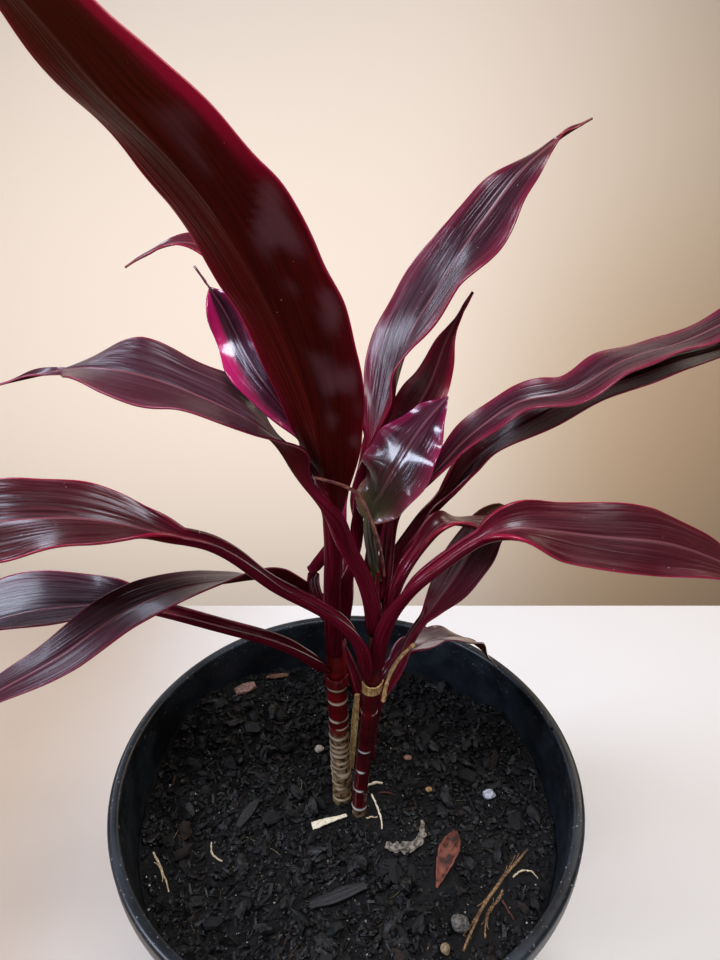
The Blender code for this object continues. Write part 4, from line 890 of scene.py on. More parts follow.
outline = [
    # the rolled rim and its skirt, then down the outside of the wall
    *arc(RIM - 2.4, HEIGHT - 2.4, 2.4, 90, 0, 7), (RIM, 213.0), (RIM, 210.3),
    *arc(RIM - 0.9, 210.4, 0.9, -20, -160, 5), (RIM - 1.9, 213.0), (RIM - 1.9, 216.8),
    (INNER_TOP + 2.9, 217.0), (INNER_TOP + 1.8, 214.0), (INNER_TOP + 1.6, 212.0), (110.0, 120.0),
    (98.6, 12.0), (97.6, 6.0), (96.8, 3.0), (95.9, 0.8), (94.2, 0.0), (86.0, 0.0), (85.0, 0.4),
    # the floor from below and from above, then up the inside
    (60.0, 0.4), (30.0, 0.4), (6.0, 0.4), (0.0, 0.4), (0.0, FLOOR), (30.0, FLOOR), (60.0, FLOOR),
    (90.0, FLOOR), (inner_wall(FLOOR) - 1.0, 2.1),
    *[(inner_wall(z), z) for z in (4.0, 60.0, 130.0, 170.0, 195.0, 211.0)],
    (INNER_TOP, 213.6), (INNER_TOP + 0.1, 217.4), *arc(INNER_TOP + 2.1, 218.0, 2.0, 170, 90, 5)]
pot = primitive(bpy.ops.mesh.primitive_circle_add, "pot_moulded", vertices=len(outline), radius=1)
for vert, (r, z) in zip(pot.data.vertices, outline):
    vert.co = (r * MM, 0, z * MM)
edit((bpy.ops.mesh.spin, dict(steps=SPIN_STEPS, angle=2 * math.pi, center=(0, 0, 0), axis=(0, 0, 1))),
     (bpy.ops.mesh.remove_doubles, dict(threshold=0.00001)),
     (bpy.ops.mesh.normals_make_consistent, dict(inside=False)))


def cut_round(target, radius, depth, place, sides):
    """Cuts an upright round hole."""
    bpy.ops.mesh.primitive_cylinder_add(vertices=sides, radius=radius * MM, depth=depth * MM,
                                        location=[c * MM for c in place])
    tool = bpy.context.object
    hole = target.modifiers.new("Hole", "BOOLEAN")
    hole.object = tool
    hole.operation = "DIFFERENCE"
    bpy.context.view_layer.objects.active = target
    bpy.ops.object.modifier_apply(modifier=hole.name)
    bpy.data.objects.remove(tool)


for k in range(DRAINS):
    a = 2 * math.pi * (k + 0.5) / DRAINS
    cut_round(pot, DRAIN_RADIUS, 8.0, (DRAIN_RING * math.cos(a), DRAIN_RING * math.sin(a), 1.0), 32)
nick = math.radians(NICK_TURN)
cut_round(pot, NICK_RADIUS, 5.0, (INNER_TOP * math.cos(nick), INNER_TOP * math.sin(nick), HEIGHT), 7)
alone(pot)
bpy.ops.object.shade_smooth_by_angle(angle=math.radians(35))
print("pot faces:", len(pot.data.polygons))

# %% [markdown]
# Black polypropylene from a mould is satin, a touch blue, and soon scuffed: pale dust sits in
# the pores of the rim, and fine scratches run round the wall. The dust is a noise cut off near
# its top, the scratches a noise stretched round the pot, both kept faint.

# %% Pot finish
plastic, put, shader = finish_named("moulded_polypropylene", 0.42, 1.49)
where = put("TexCoord")[3]
_, _, height = put("SeparateXYZ", {0: where})
grime, _ = put("TexNoise", {"Vector": where, "Scale": 38.0, "Detail": 6.0, "Roughness": 0.65})
dust, _ = put("TexNoise", {"Vector": where, "Scale": 700.0, "Detail": 2.0})
ringed = put("Mapping", {"Vector": where, "Scale": (30.0, 30.0, 900.0)})
scratch, _ = put("TexNoise", {"Vector": ringed, "Scale": 1.0, "Detail": 5.0, "Roughness": 0.7})
dull = put("MapRange", {0: grime, 1: 0.35, 2: 0.7}, **SOFT)
colour = put("Mix", {0: dull, 6: tint("12161B"), 7: tint("272E36")}, **PAINT)
high = put("MapRange", {0: height, 1: 0.2, 2: 0.216}, **SOFT)
pores = put("MapRange", {0: dust, 1: 0.66, 2: 0.72, 3: 0.0, 4: 0.6}, **SOFT)
specks = put("Math", {0: pores, 1: high}, **TIMES)
feed(shader, {
    "Base Color": put("Mix", {0: specks, 6: colour, 7: tint("A9A7A2")}, **PAINT),
    "Roughness": put("MapRange", {0: grime, 1: 0.3, 2: 0.75, 3: 0.34, 4: 0.52}, **SOFT),
    "Normal": put("Bump", {"Strength": 0.12, "Distance": 0.0004, "Height": scratch})})
dress(pot, "pot", "pot", plastic)
print("pot dressed")

# %% [markdown]
# Potting mix is composted bark and peat. Its surface is level, banked up against the wall at
# the back, and lumpy. Where something lies on it, it is pressed flat. These are the same hills
# and seats that the CAD model has, so that whatever lies on the mix still touches it.

# %% Lie of the mix
MIX_LEVEL = 183.0
LUMPS = 130                     # low hills and hollows
LUMP_REACH = 112                # they lie within this of the middle
LUMP_SEED = 11
SEAT_EASE = 6.0                 # this far beyond a seat's edge the mix is itself again
CLOD = 6.5                      # about half the width of a clod
CLOD_RISE = 2.6                 # how far a clod can stand up or sink
CLOD_EASE = 4.0                 # this far from a seat clods are at their full height
STRANDS = {
    # name: (points, radii)
    "root_cut": ([(-19.5, -12, 0), (-13, -10, 1.2), (-6.4, -7.7, 1.0), (-0.5, -5, 0)],
                 (1.5, 1.4, 1.3, 1.1)),
    "root_short": ([(10.9, 14, 0), (15, 15.6, 0.8), (20, 16.1, 0)], (0.9, 1.1, 0.9)),
    "root_bent": ([(13.4, 7, 1.5), (16.5, 0.3, 0.6), (18.6, -7, 0.2), (19.2, -13.6, 0)],
                  (0.8, 0.8, 0.7, 0.5)),
    "root_thin": ([(10.5, -7.2, 0.4), (13.5, -6.6, 0.7), (16.6, -6.2, 0)], (0.8, 0.7, 0.5)),
    "twig_back": ([(17.6, 9.6, 0.5), (22, 9.8, 1.0), (27.2, 9.0, 0)], (0.7, 0.6, 0.5)),
    "straw_main": ([(96.5, -26.6, 2.0), (82.1, -40.7, 1.0), (68.1, -57, 0.5), (56.2, -76.5, 0)],
                   (0.8, 1.1, 1.1, 0.9)),
    "straw_arch": ([(86.5, -41.0, 0), (91, -39.3, 2.5), (95.5, -40, 3.2), (98.4, -42.6, 1.5)],
                   (0.6, 0.6, 0.5, 0.4)),
    "straw_side": ([(79.6, -47.6, 0.6), (76, -52.6, 0.2), (70.8, -59.3, 0.3), (67.4, -70.7, 0)],
                   (0.8, 0.8, 0.7, 0.7)),
    "twig_dark": ([(78.6, -52.4, 0.5), (80.6, -57, 0.4), (82.8, -61.8, 0)], (0.7, 0.6, 0.5)),
    "straw_left": ([(-103.4, -27.5, 1.0), (-96.3, -37.2, 1.2), (-90.5, -48.2, 0)],
                   (0.7, 0.8, 0.6)),
    "straw_curved": ([(-73.1, -23.0, 0.8), (-71.6, -28.4, 0.6), (-65.4, -32.9, 0)],
                     (0.6, 0.6, 0.5)),
}
STONES = {
    # name: (x, y, half sizes)
    "pebble_pale": (80.8, 6.1, (3.6, 3.0, 2.1)), "stone_grey": (56.0, -65.0, (4.6, 4.3, 3.2)),
    "bit_tan": (47.5, -76.0, (2.4, 2.6, 2.0)), "bit_white": (-18.0, 38.9, (2.6, 2.2, 1.9)),
    "bit_back": (36.0, 33.7, (2.4, 1.8, 1.2)), "bit_side": (46.8, 11.1, (1.9, 1.7, 1.2)),
}
CHIPS = {
    # name: (x, y, length, width, thickness, turn)
    "chip_pink": (-68.0, 79.0, 13.0, 8.0, 1.8, 25), "chip_back": (-49.0, 95.0, 14.0, 3.2, 1.4, 5),
    "bark_left": (-56.0, -5.0, 18.0, 5.5, 2.2, 62), "bark_front": (-4.0, -51.0, 30.0, 6.5, 2.6, 20),
}
draw = random.Random(LUMP_SEED)
hills = []
for _ in range(LUMPS):
    r = LUMP_REACH * math.sqrt(draw.random())
    a = draw.uniform(0, 2 * math.pi)
    hills.append((r * math.cos(a), r * math.sin(a), draw.uniform(5, 10), draw.uniform(-2.4, 3.0)))
# each seat is a line with a reach on either side of it; the last ones are for the two strips
seats = [(a[:2], b[:2], 2.5) for points, _ in STRANDS.values() for a, b in zip(points, points[1:])]
seats += [((x - 0.1, y), (x + 0.1, y), half[0]) for x, y, half in STONES.values()]
for x, y, long, wide, _, turn in CHIPS.values():
    dx, dy = 0.35 * long * math.cos(math.radians(turn)), 0.35 * long * math.sin(math.radians(turn))
    seats.append(((x - dx, y - dy), (x + dx, y + dy), wide * 0.5))
seats += [((57.4, -20), (48, -43), 6.0), ((22, -24), (39, -22), 4.0)]


def from_seat(x, y, a, b, reach):
    """How far places are from the edge of one seat."""
    dx, dy = b[0] - a[0], b[1] - a[1]
    share = np.clip(((x - a[0]) * dx + (y - a[1]) * dy) / (dx * dx + dy * dy + 1e-9), 0, 1)
    return np.hypot(x - a[0] - share * dx, y - a[1] - share * dy) - reach


def bare(x, y):
    """Height of the mix before anything pressed it down."""
    r, a = np.hypot(x, y), np.degrees(np.arctan2(y, x))
    bank = smooth((r - 62) / 50)
    z = MIX_LEVEL + 15 * bank * np.exp(-((a - 143) / 26) ** 2) + 8 * bank * np.exp(-((a - 30) / 15) ** 2)
    z = z + 0.8 * np.sin(x / 7.0 + 1.2) * np.cos(y / 8.5 - 0.5)
    for cx, cy, wide, tall in hills:
        z = z + tall * np.exp(-((x - cx) ** 2 + (y - cy) ** 2) / wide ** 2)
    return z


def seat_distance(x, y):
    """How far each place is from the nearest edge of a seat."""
    return np.min([from_seat(x, y, *seat) for seat in seats], axis=0)


def lie(x, y):
    """Height of the mix with its seats pressed flat."""
    z = bare(x, y)
    for a, b, reach in seats:
        level = bare((a[0] + b[0]) / 2, (a[1] + b[1]) / 2)
        z = z + (level - z) * (1 - smooth(from_seat(x, y, a, b, reach) / SEAT_EASE))
    return z


def clods(x, y):
    """Clods about a centimetre across, flat where something lies on the mix."""
    rise = np.array([waver(a / CLOD, b / CLOD, 9.0) for a, b in zip(x, y)])
    return CLOD_RISE * rise * smooth(seat_distance(x, y) / CLOD_EASE)


print("mix height at the middle:", round(float(lie(0.0, 0.0)), 1), "mm")

# %% [markdown]
# The body of the mix is a disc. A grid is bent round into rings, so that there are points
# enough to push up and down, and then its points are lifted to the lie of the mix, with coarse
# crumbs from one noise and fine ones from another. The wall and the underside are a plain
# taper, a hair clear of the pot.

# %% Body of the mix
MIX_RINGS = 96
MIX_SIDES = 300
MIX_FOOT = 2.6
EDGE_GAP = 0.4
MIX_REACH = inner_wall(MIX_LEVEL) - EDGE_GAP
mix = primitive(bpy.ops.mesh.primitive_grid_add, "mix_body", x_subdivisions=MIX_SIDES,
                y_subdivisions=MIX_RINGS, size=1)
spots = points_of(mix.data)
angle = (spots[:, 0] + 0.5) * 2 * math.pi
ring = 0.5 - spots[:, 1]
r = MIX_REACH * ring ** 0.75
x, y = r * np.cos(angle), r * np.sin(angle)
crumb = np.array([waver(a / 4.0, b / 4.0, 0.5) * 1.1
                  + abs(waver(a / 1.7, b / 1.7, 3.1)) * 1.2 for a, b in zip(x, y)])
z = lie(x, y) + crumb + clods(x, y) - 0.55
outer = ring > 1 - 0.5 / MIX_RINGS
grow = np.where(outer, (inner_wall(z) - EDGE_GAP) / np.maximum(r, 1), 1.0)
z = np.where(ring < 1e-6, float(z[ring < 1e-6].mean()), z)
mix.data.vertices.foreach_set("co", (np.stack([x * grow, y * grow, z], 1) * MM).ravel())
bpy.ops.object.mode_set(mode="EDIT")
bpy.ops.mesh.select_all(action="SELECT")
bpy.ops.mesh.remove_doubles(threshold=0.000002)
bpy.ops.mesh.select_all(action="DESELECT")
bpy.ops.mesh.select_non_manifold()
bpy.ops.mesh.extrude_region_move()
bm = bmesh.from_edit_mesh(mix.data)
reach = inner_wall(MIX_FOOT) - EDGE_GAP
for vert in bm.verts:
    if vert.select:
        turn = math.atan2(vert.co.y, vert.co.x)
        vert.co = Vector((reach * math.cos(turn), reach * math.sin(turn), MIX_FOOT)) * MM
bmesh.update_edit_mesh(mix.data)
bpy.ops.mesh.edge_face_add()
edit((bpy.ops.mesh.normals_make_consistent, dict(inside=False)))
bpy.ops.object.shade_smooth_by_angle(angle=math.radians(50))
print("mix faces:", len(mix.data.polygons))

# %% [markdown]
# What the eye reads as potting mix is thousands of loose bits: granules, splinters of bark and
# fine fibres, lying every way. Each kind is modelled once, then copied with its own size and
# turn and joined into one mesh, because thousands of objects would be slow. The dice that
# place them are seeded, so they fall the same way every time.

# %% Loose bits
CANES_LEAVE = 186               # height where the canes leave the mix
RAGGED = 0.28                   # how far a bit's points stray, as a share of its size
BITS = {
    # what: kind, how many, seed, sizes in mm, how slim, how tilted, how sunk, how far from seats
    "mix_granules": ("granule", 9400, 21, (0.9, 4.6), (0.5, 1.0), 30, 0.4, -1.0),
    "mix_chunks": ("chunk", 760, 24, (3.5, 13.0), (0.35, 0.8), 25, 0.35, 0.6),
    "mix_splinters": ("splinter", 3400, 22, (1.6, 8.5), (0.12, 0.34), 26, 0.2, 0.3),
    "mix_grit": ("granule", 760, 23, (0.35, 1.5), (0.6, 1.0), 20, -0.6, -1.5),
}


def bit_template(kind):
    """The points and faces of one granule, chunk or splinter."""
    if kind == "splinter":
        made = primitive(bpy.ops.mesh.primitive_cube_add, kind, size=2)
        edit((bpy.ops.mesh.bevel, dict(offset=0.35, segments=1)))
    else:
        made = primitive(bpy.ops.mesh.primitive_ico_sphere_add, kind, radius=1,
                         subdivisions=2 if kind == "chunk" else 1)
    points = np.array([v.co for v in made.data.vertices])
    faces = [tuple(p.vertices) for p in made.data.polygons]
    bpy.data.objects.remove(made)
    return points, faces


def loose(name, points, faces, tones):
    """A piece from points in metres, their faces, and the tone of the bit at each point."""
    mesh = bpy.data.meshes.new(name)
    mesh.from_pydata(points, [], faces)
    piece = linked(name, mesh)
    mark(piece, "bit_tone", tones)
    return piece


def scatter(name, kind, count, seed, sizes, slim, tilt, sink, clear):
    """Copies of one bit over the mix, clear of the seats, the canes and the wall."""
    rng = np.random.default_rng(seed)
    points, faces = bit_template(kind)
    radius = (inner_wall(MIX_LEVEL) - 1.5) * np.sqrt(rng.random(count))
    angle = rng.random(count) * 2 * math.pi
    x, y = radius * np.cos(angle), radius * np.sin(angle)
    long = sizes[0] + (sizes[1] - sizes[0]) * rng.random(count) ** 2.2
    size = np.stack([long, long * rng.uniform(*slim, count), long * rng.uniform(*slim, count) * 0.7], 1) / 2
    keep = seat_distance(x, y) > clear + long * 0.5
    for rod in CANES:
        middle, girth = cane_at(rod, CANES_LEAVE)
        keep &= np.hypot(x - middle[0], y - middle[1]) > girth + 0.4 + long * 0.4
    keep &= np.hypot(x, y) + long * 0.55 < inner_wall(lie(x, y)) - 0.6
    x, y, size = x[keep], y[keep], size[keep]
    n = len(x)
    z = lie(x, y) + clods(x, y) + size[:, 2] * (1 - sink) + rng.uniform(-0.3, 0.9, n)
    spin = rng.random(n) * 2 * math.pi
    pitch, bank = rng.normal(0, math.radians(tilt), n), rng.normal(0, math.radians(tilt), n)
    one = points[None] * (1 + rng.uniform(-RAGGED, RAGGED, (n, len(points), 1))) * size[:, None]
    for turn, (a, b) in ((bank, (1, 2)), (pitch, (0, 2)), (spin, (0, 1))):
        c, s = np.cos(turn)[:, None], np.sin(turn)[:, None]
        one[..., a], one[..., b] = one[..., a] * c - one[..., b] * s, one[..., a] * s + one[..., b] * c
    one += np.stack([x, y, z], 1)[:, None]
    step = len(points)
    tones = np.repeat(np.stack([rng.random(n), rng.random(n), np.zeros(n)], 1), step, axis=0)
    return loose(name, (one.reshape(-1, 3) * MM).tolist(),
                 [tuple(k * step + v for v in face) for k in range(n) for face in faces], tones)


bits = {name: scatter(name, *row) for name, row in BITS.items()}
print("loose bits:", {name: len(piece.data.polygons) for name, piece in bits.items()})

# %% [markdown]
# Fibres of coir and root are finer still. Each is a three-sided thread of six short lengths
# that follows a random gentle bend and dips into the mix at both ends.

# %% Fibres
PARTS = 6                       # short lengths of a fibre
REACH = 110                     # fibres end within this of the middle
CANE_ROOM = 7                   # and leave this much room round a cane's middle


def fibre_mesh(name, count, seed, lengths, thickness):
    rng = np.random.default_rng(seed)
    verts, faces, tones = [], [], []
    for _ in range(count):
        radius = (REACH - 2) * math.sqrt(rng.random())
        turn = rng.random() * 2 * math.pi
        path = [np.array([radius * math.cos(turn), radius * math.sin(turn)])]
        length = rng.uniform(*lengths)
        heading = rng.random() * 2 * math.pi
        bend = rng.uniform(-0.5, 0.5)
        for _ in range(PARTS):
            heading += bend + rng.uniform(-0.15, 0.15)
            path.append(path[-1] + length / PARTS * np.array([math.cos(heading), math.sin(heading)]))
        path = np.array(path)
        x, y = path.T
        if np.hypot(x, y).max() > REACH or seat_distance(x, y).min() < 0.5:
            continue
        feet = [cane_at(rod, CANES_LEAVE)[0][:2] for rod in CANES]
        if min(math.hypot(*(spot - foot)) for spot in path for foot in feet) < CANE_ROOM:
            continue
        rise = lie(x, y) + clods(x, y)
        rise += 1.3 * np.sin(np.linspace(0, math.pi, PARTS + 1)) + rng.uniform(0.3, 1.0)
        start = len(verts)
        for k, spot in enumerate(path):
            ahead = path[min(k + 1, PARTS)] - path[max(k - 1, 0)]
            side = np.array([-ahead[1], ahead[0]]) / (np.linalg.norm(ahead) + 1e-9)
            taper = 0.4 + 0.6 * math.sin(math.pi * (k + 0.5) / (PARTS + 1))
            half = rng.uniform(0.7, 1.1) * thickness * taper
            for a, b in ((-1, -0.5), (1, -0.5), (0, 1)):
                verts.append((*(spot + side * a * half) * MM, (rise[k] + b * half) * MM))
        for k in range(start, start + 3 * PARTS, 3):
            for a, b in ((0, 1), (1, 2), (2, 0)):
                faces.append((k + a, k + b, k + 3 + b, k + 3 + a))
        end = len(verts)
        faces += [(start + 2, start + 1, start), (end - 3, end - 2, end - 1)]
        tones += [(rng.random(), rng.random(), 0)] * (end - start)
    return loose(name, verts, faces, tones)


bits["mix_fibres"] = fibre_mesh("mix_fibres", 420, 31, (5, 16), 0.13)
bits["mix_pale_fibres"] = fibre_mesh("mix_pale_fibres", 34, 33, (5, 18), 0.16)
print("faces of fibres:", len(bits["mix_fibres"].data.polygons))

# %% [markdown]
# Moist composted bark is nearly black, but each bit catches the light differently, so every bit
# carries its own random tone. The finish turns the tone into a shade between soot and dark
# brown, with a few odd ones, and into a gloss between matt and damp: the damp ones glint.

# %% Mix finishes
BIT_LOOKS = {
    # what: its material, dark and light shades, an odd one, the share of those, and roughness
    "mix_granules": ("bark_granules", "030303", "110F0F", "2A1C16", 0.03, 0.3, 0.9),
    "mix_chunks": ("bark_chunks", "030303", "121112", "2E2018", 0.06, 0.35, 0.9),
    "mix_splinters": ("bark_splinters", "040404", "181618", "3A281E", 0.03, 0.28, 0.85),
    "mix_grit": ("pale_grit", "8C8478", "E4DED4", "7A5A48", 0.3, 0.4, 0.8),
    "mix_fibres": ("coir_fibre", "0A0908", "2A2019", "8A7450", 0.05, 0.5, 0.8),
    "mix_pale_fibres": ("pale_fibre", "6A5A46", "C9B48E", "E6DCC4", 0.3, 0.5, 0.8),
}


def bit_finish(name, dark, light, odd, odd_share, damp, matt):
    """Finish for loose bits, each with its own tone."""
    stuff, put, shader = finish_named(name, matt)
    shade, kind, _ = put("SeparateXYZ", {0: put("Attribute", attribute_name="bit_tone")[1]})
    # grain about 0.6 mm across
    grain, _ = put("TexNoise", {"Vector": put("TexCoord")[3], "Scale": 1600.0, "Detail": 3.0})
    deep = put("Math", {0: shade, 1: 2.2}, operation="POWER")
    rare = put("MapRange", {0: kind, 1: 1 - odd_share, 2: 1 - odd_share + 0.01})
    # painted shade: the pits of the grain, where the bump sinks, are darkened nearly to black
    pits = put("MapRange", {0: grain, 1: 0.62, 2: 0.38, 3: 0.0, 4: 0.8}, **SOFT)
    colour = tint(dark)
    for share, code in ((deep, light), (rare, odd), (pits, "050505")):
        colour = put("Mix", {0: share, 6: colour, 7: tint(code)}, **PAINT)
    feed(shader, {"Base Color": colour, "Roughness": put("MapRange", {0: kind, 3: damp, 4: matt}),
                  "Normal": put("Bump", {"Strength": 0.6, "Distance": 0.0005, "Height": grain})})
    return stuff


soil, put, shader = finish_named("composted_bark", 0.9)
crumbs, _ = put("TexNoise", {"Vector": put("TexCoord")[3], "Scale": 520.0, "Detail": 6.0, "Roughness": 0.7})
lumpy = put("MapRange", {0: crumbs, 1: 0.4, 2: 0.7}, **SOFT)
feed(shader, {"Base Color": put("Mix", {0: lumpy, 6: tint("020202"), 7: tint("0D0B0B")}, **PAINT),
              "Normal": put("Bump", {"Strength": 0.9, "Distance": 0.0012, "Height": crumbs})})
dress(mix, "potting_mix", "potting_mix", soil)
for name, look in BIT_LOOKS.items():
    dress(bits[name], None, "potting_mix", bit_finish(*look))
print("mix dressed")

# %% [markdown]
# The rest is litter: roots, straws, stones, bark, a dead leaf. A round thing is a curve with a
# thickness at each point, turned into a mesh. It is made in the air and let down until its
# lowest point is where the CAD node's lowest point is, so it lies on the mix as that does.

# %% Litter helpers
def wobble(seed, k, amount):
    """A gentle drift along a strand, from row to row."""
    return amount * waver(seed * 3.3, k * 0.28, 0.4)


def tube(name, points, radii, sides=3, lumps=0.0, seed=0):
    """A round tube through points with a radius at each, as a mesh."""
    curve = bpy.data.curves.new(name, "CURVE")
    curve.dimensions = "3D"
    curve.bevel_depth = MM
    curve.bevel_resolution = sides
    curve.use_fill_caps = True
    run = curve.splines.new("POLY")
    run.points.add(len(points) - 1)
    for k, (spot, point, radius) in enumerate(zip(run.points, points, radii)):
        spot.co = (*[c * MM for c in point], 1)
        spot.radius = radius * (1 + wobble(seed, k, lumps))
    alone(linked(name, curve))
    bpy.ops.object.convert(target="MESH")
    edit((bpy.ops.mesh.remove_doubles, dict(threshold=0.000005)),
         (bpy.ops.mesh.normals_make_consistent, dict(inside=False)))
    bpy.ops.object.shade_smooth_by_angle(angle=math.radians(60))
    return bpy.context.object


def let_down(piece, node):
    """Moves the mesh so that its lowest point is at the CAD node's."""
    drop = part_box(node)[0][2] - min(v.co.z for v in piece.data.vertices)
    for vert in piece.data.vertices:
        vert.co.z += drop
    return piece


def lay(piece, node, slot, finish):
    """Lets a piece down onto the mix and dresses it."""
    dress(let_down(piece, node), node, slot, finish)


def plant_finish(name, dark, light, rough, stretch=(1, 1, 1), scale=700.0, depth=0.0004, stains=0.7):
    """A dry or woody finish: two shades mixed by a grain of real size."""
    stuff, put, shader = finish_named(name, rough)
    where = put("TexCoord")[3]
    turned = put("Mapping", {"Vector": where, "Scale": stretch})
    grain, _ = put("TexNoise", {"Vector": turned, "Scale": scale, "Detail": 5.0, "Roughness": 0.65})
    large, _ = put("TexNoise", {"Vector": where, "Scale": 90.0, "Detail": 2.0})
    fine = put("MapRange", {0: grain, 1: 0.35, 2: 0.65}, **SOFT)
    colour = put("Mix", {0: fine, 6: tint(dark), 7: tint(light)}, **PAINT)
    stain = put("MapRange", {0: large, 1: 0.55, 2: 0.75, 3: 0.0, 4: stains}, **SOFT)
    feed(shader, {"Base Color": put("Mix", {0: stain, 6: colour, 7: tint(dark)}, **PAINT),
                  "Normal": put("Bump", {"Strength": 0.5, "Distance": depth, "Height": grain})})
    return stuff


print("litter pieces to make:", len(STRANDS) + len(STONES) + len(CHIPS) + 2)

# %% [markdown]
# A strip is a sheet along a curve: its edges cup upwards, and a noise crumples it and tears its
# outline. Dried leaf parts are such strips, and so is a root that was sliced flat.

# %% Strips
STRIP_ROWS = 60
STRIP_COLUMNS = 13


def strip(name, points, half_widths, thickness, roll, cup=0.0, crumple=0.3, tear=0.22, seed=0):
    """A crumpled strip along a path, turned about it by roll and cupped across."""
    shares = np.linspace(0, 1, STRIP_ROWS)
    grid, place = np.zeros((2, STRIP_ROWS, STRIP_COLUMNS, 3))
    for i, (share, spot, t) in enumerate(zip(shares, *track(points, shares, 0.01))):
        up = np.array([0, 0, 1.0]) if abs(t[2]) < 0.8 else np.array([0, -1.0, 0])
        n, b = out_and_across(t, up, ramp(roll, share))
        for j, u in enumerate(np.linspace(-1, 1, STRIP_COLUMNS)):
            w = ramp(half_widths, share)
            torn = 1 + tear * waver(share * 14, 2.0 if u > 0 else -2.0, seed)
            fold = crumple * waver(u * 1.6, share * 9, seed + 3.0)
            grid[i, j] = spot + b * u * w * torn + n * (abs(u) ** 1.5 * w * cup + fold)
            place[i, j] = u, share, seed
    return sheet(name, grid, np.full(grid.shape[:2], thickness), {"strip_at": place})[0]


cream = plant_finish("fresh_root", "E0CDA4", "FFF8E6", 0.55)
wedge = strip("root_cut_fine", STRANDS["root_cut"][0], (2.5, 1.9, 1.2, 0.9), 1.5, (0, 0), cup=-0.12,
              crumple=0.15, tear=0.1, seed=12)
lay(wedge, "root_cut", "root", cream)
print("sliced root:", len(wedge.data.polygons), "faces")

# %% [markdown]
# A straw is a thin stalk that has split lengthwise, so a few loose threads leave it at its ends.
# Roots are smoother and swell a little here and there.

# %% Roots and straws
straw = plant_finish("dry_straw", "382418", "9C7850", 0.6, scale=900.0)
pale_straw = plant_finish("pale_straw", "A08A68", "E2D2B0", 0.6, scale=900.0)
rust = plant_finish("rusty_twig", "2C1610", "6A3526", 0.7)
FINISHES = {"root_short": cream, "root_bent": cream, "root_thin": pale_straw,
            "twig_back": rust, "twig_dark": rust, "straw_arch": pale_straw, "straw_curved": pale_straw,
            "straw_left": pale_straw}
THREADS = {"straw_main": 5, "straw_side": 3, "straw_left": 2}
SLIM = 0.72                     # how thick a strand is against the radii of its node
THREAD = 0.22                   # radius of a loose thread
for seed, (node, (points, radii)) in enumerate(STRANDS.items()):
    if node == "root_cut":
        continue
    rows = 12 * (len(points) - 1)
    shares = np.linspace(0, 1, rows)
    path = spline(points, shares)
    for axis, start in ((0, 40), (1, 60)):
        path[:, axis] += [wobble(seed + start, k, 0.5) for k in range(rows)]
    swell = SLIM * np.interp(shares, np.linspace(0, 1, len(radii)), radii)
    whole = tube(node + "_fine", path, swell, lumps=0.5, seed=seed)
    draw = random.Random(90 + seed)
    threads = []
    for k in range(THREADS.get(node, 0)):
        start = draw.randint(0, rows // 2)
        end = draw.randint(rows // 2, rows - 1)
        away = np.array([draw.uniform(-1, 1), draw.uniform(-1, 1), draw.uniform(0.2, 0.8)]) * 1.8
        spread = np.linspace(-1, 1, end - start)[:, None] ** 4
        thread = path[start:end] + away * (0.35 + spread * 0.9)
        threads.append(tube(f"thread_{k}", thread, [THREAD] * (end - start), sides=1, lumps=0.4, seed=k))
    alone(whole)
    if threads:
        for thread in threads:
            thread.select_set(True)
        bpy.ops.object.join()
    lay(whole, node, "root" if node.startswith("root") else "straw", FINISHES.get(node, straw))
print("roots and straws done")

# %% [markdown]
# A stone is a ball with its sides pushed in and out by a coarse noise and a fine one. A bark
# chip is a slab, split along its length, with ragged ends.

# %% Stones and bark
LITTER_LOOKS = {
    # node: dark and light shades, and roughness
    "pebble_pale": ("8D9098", "C9CDD6", 0.45), "stone_grey": ("2E2C2A", "6E6A62", 0.5),
    "bit_tan": ("5A4A34", "9A8564", 0.7), "bit_white": ("A89C88", "E2DACB", 0.6),
    "bit_back": ("6A4438", "A98070", 0.7), "bit_side": ("7A5A36", "C29A66", 0.7),
    "chip_pink": ("5A3A34", "A58478", 0.8), "chip_back": ("3E2419", "8A6248", 0.8),
    "bark_left": ("0A0A0B", "262527", 0.6), "bark_front": ("0A0A0B", "222124", 0.6),
}


def stone_piece(node, x, y, half, seed):
    piece = primitive(bpy.ops.mesh.primitive_ico_sphere_add, node + "_fine", subdivisions=5, radius=1)
    for vert in piece.data.vertices:
        way = vert.co.normalized()
        swell = 1 + 0.22 * noise.noise(way * 1.3 + Vector((seed, 0, 0)))
        swell += 0.06 * noise.noise(way * 4 + Vector((0, seed, 0)))
        vert.co = (Vector((x, y, 0)) + way * Vector(half) * swell) * MM
    bpy.ops.object.shade_smooth()
    return piece


def chip_piece(node, x, y, long, wide, thick, turn, seed):
    piece = primitive(bpy.ops.mesh.primitive_cube_add, node + "_fine", size=1)
    edit((bpy.ops.mesh.subdivide, dict(number_cuts=19)))
    cos, sin = math.cos(math.radians(turn)), math.sin(math.radians(turn))
    for vert in piece.data.vertices:
        a, b, c = vert.co
        narrow = 0.5 + 0.5 * math.sin(math.pi * min(max(a + 0.5, 0.1), 0.9))
        ragged = waver(b * 7, c * 3, seed)
        px = a * long * (1 + 0.16 * ragged * abs(a) * 2)
        py = b * wide * narrow + 0.35 * waver(a * 4, c * 2, seed + 5)
        split = 0.35 * waver(px / 9, py / 0.9, seed + 9)
        pz = c * thick * (1 - 0.25 * (2 * b) ** 2) + split * (0.6 + c) + 0.3 * math.sin(a * 3)
        vert.co = Vector((x + px * cos - py * sin, y + px * sin + py * cos, pz)) * MM
    bpy.ops.object.shade_smooth_by_angle(angle=math.radians(40))
    return piece


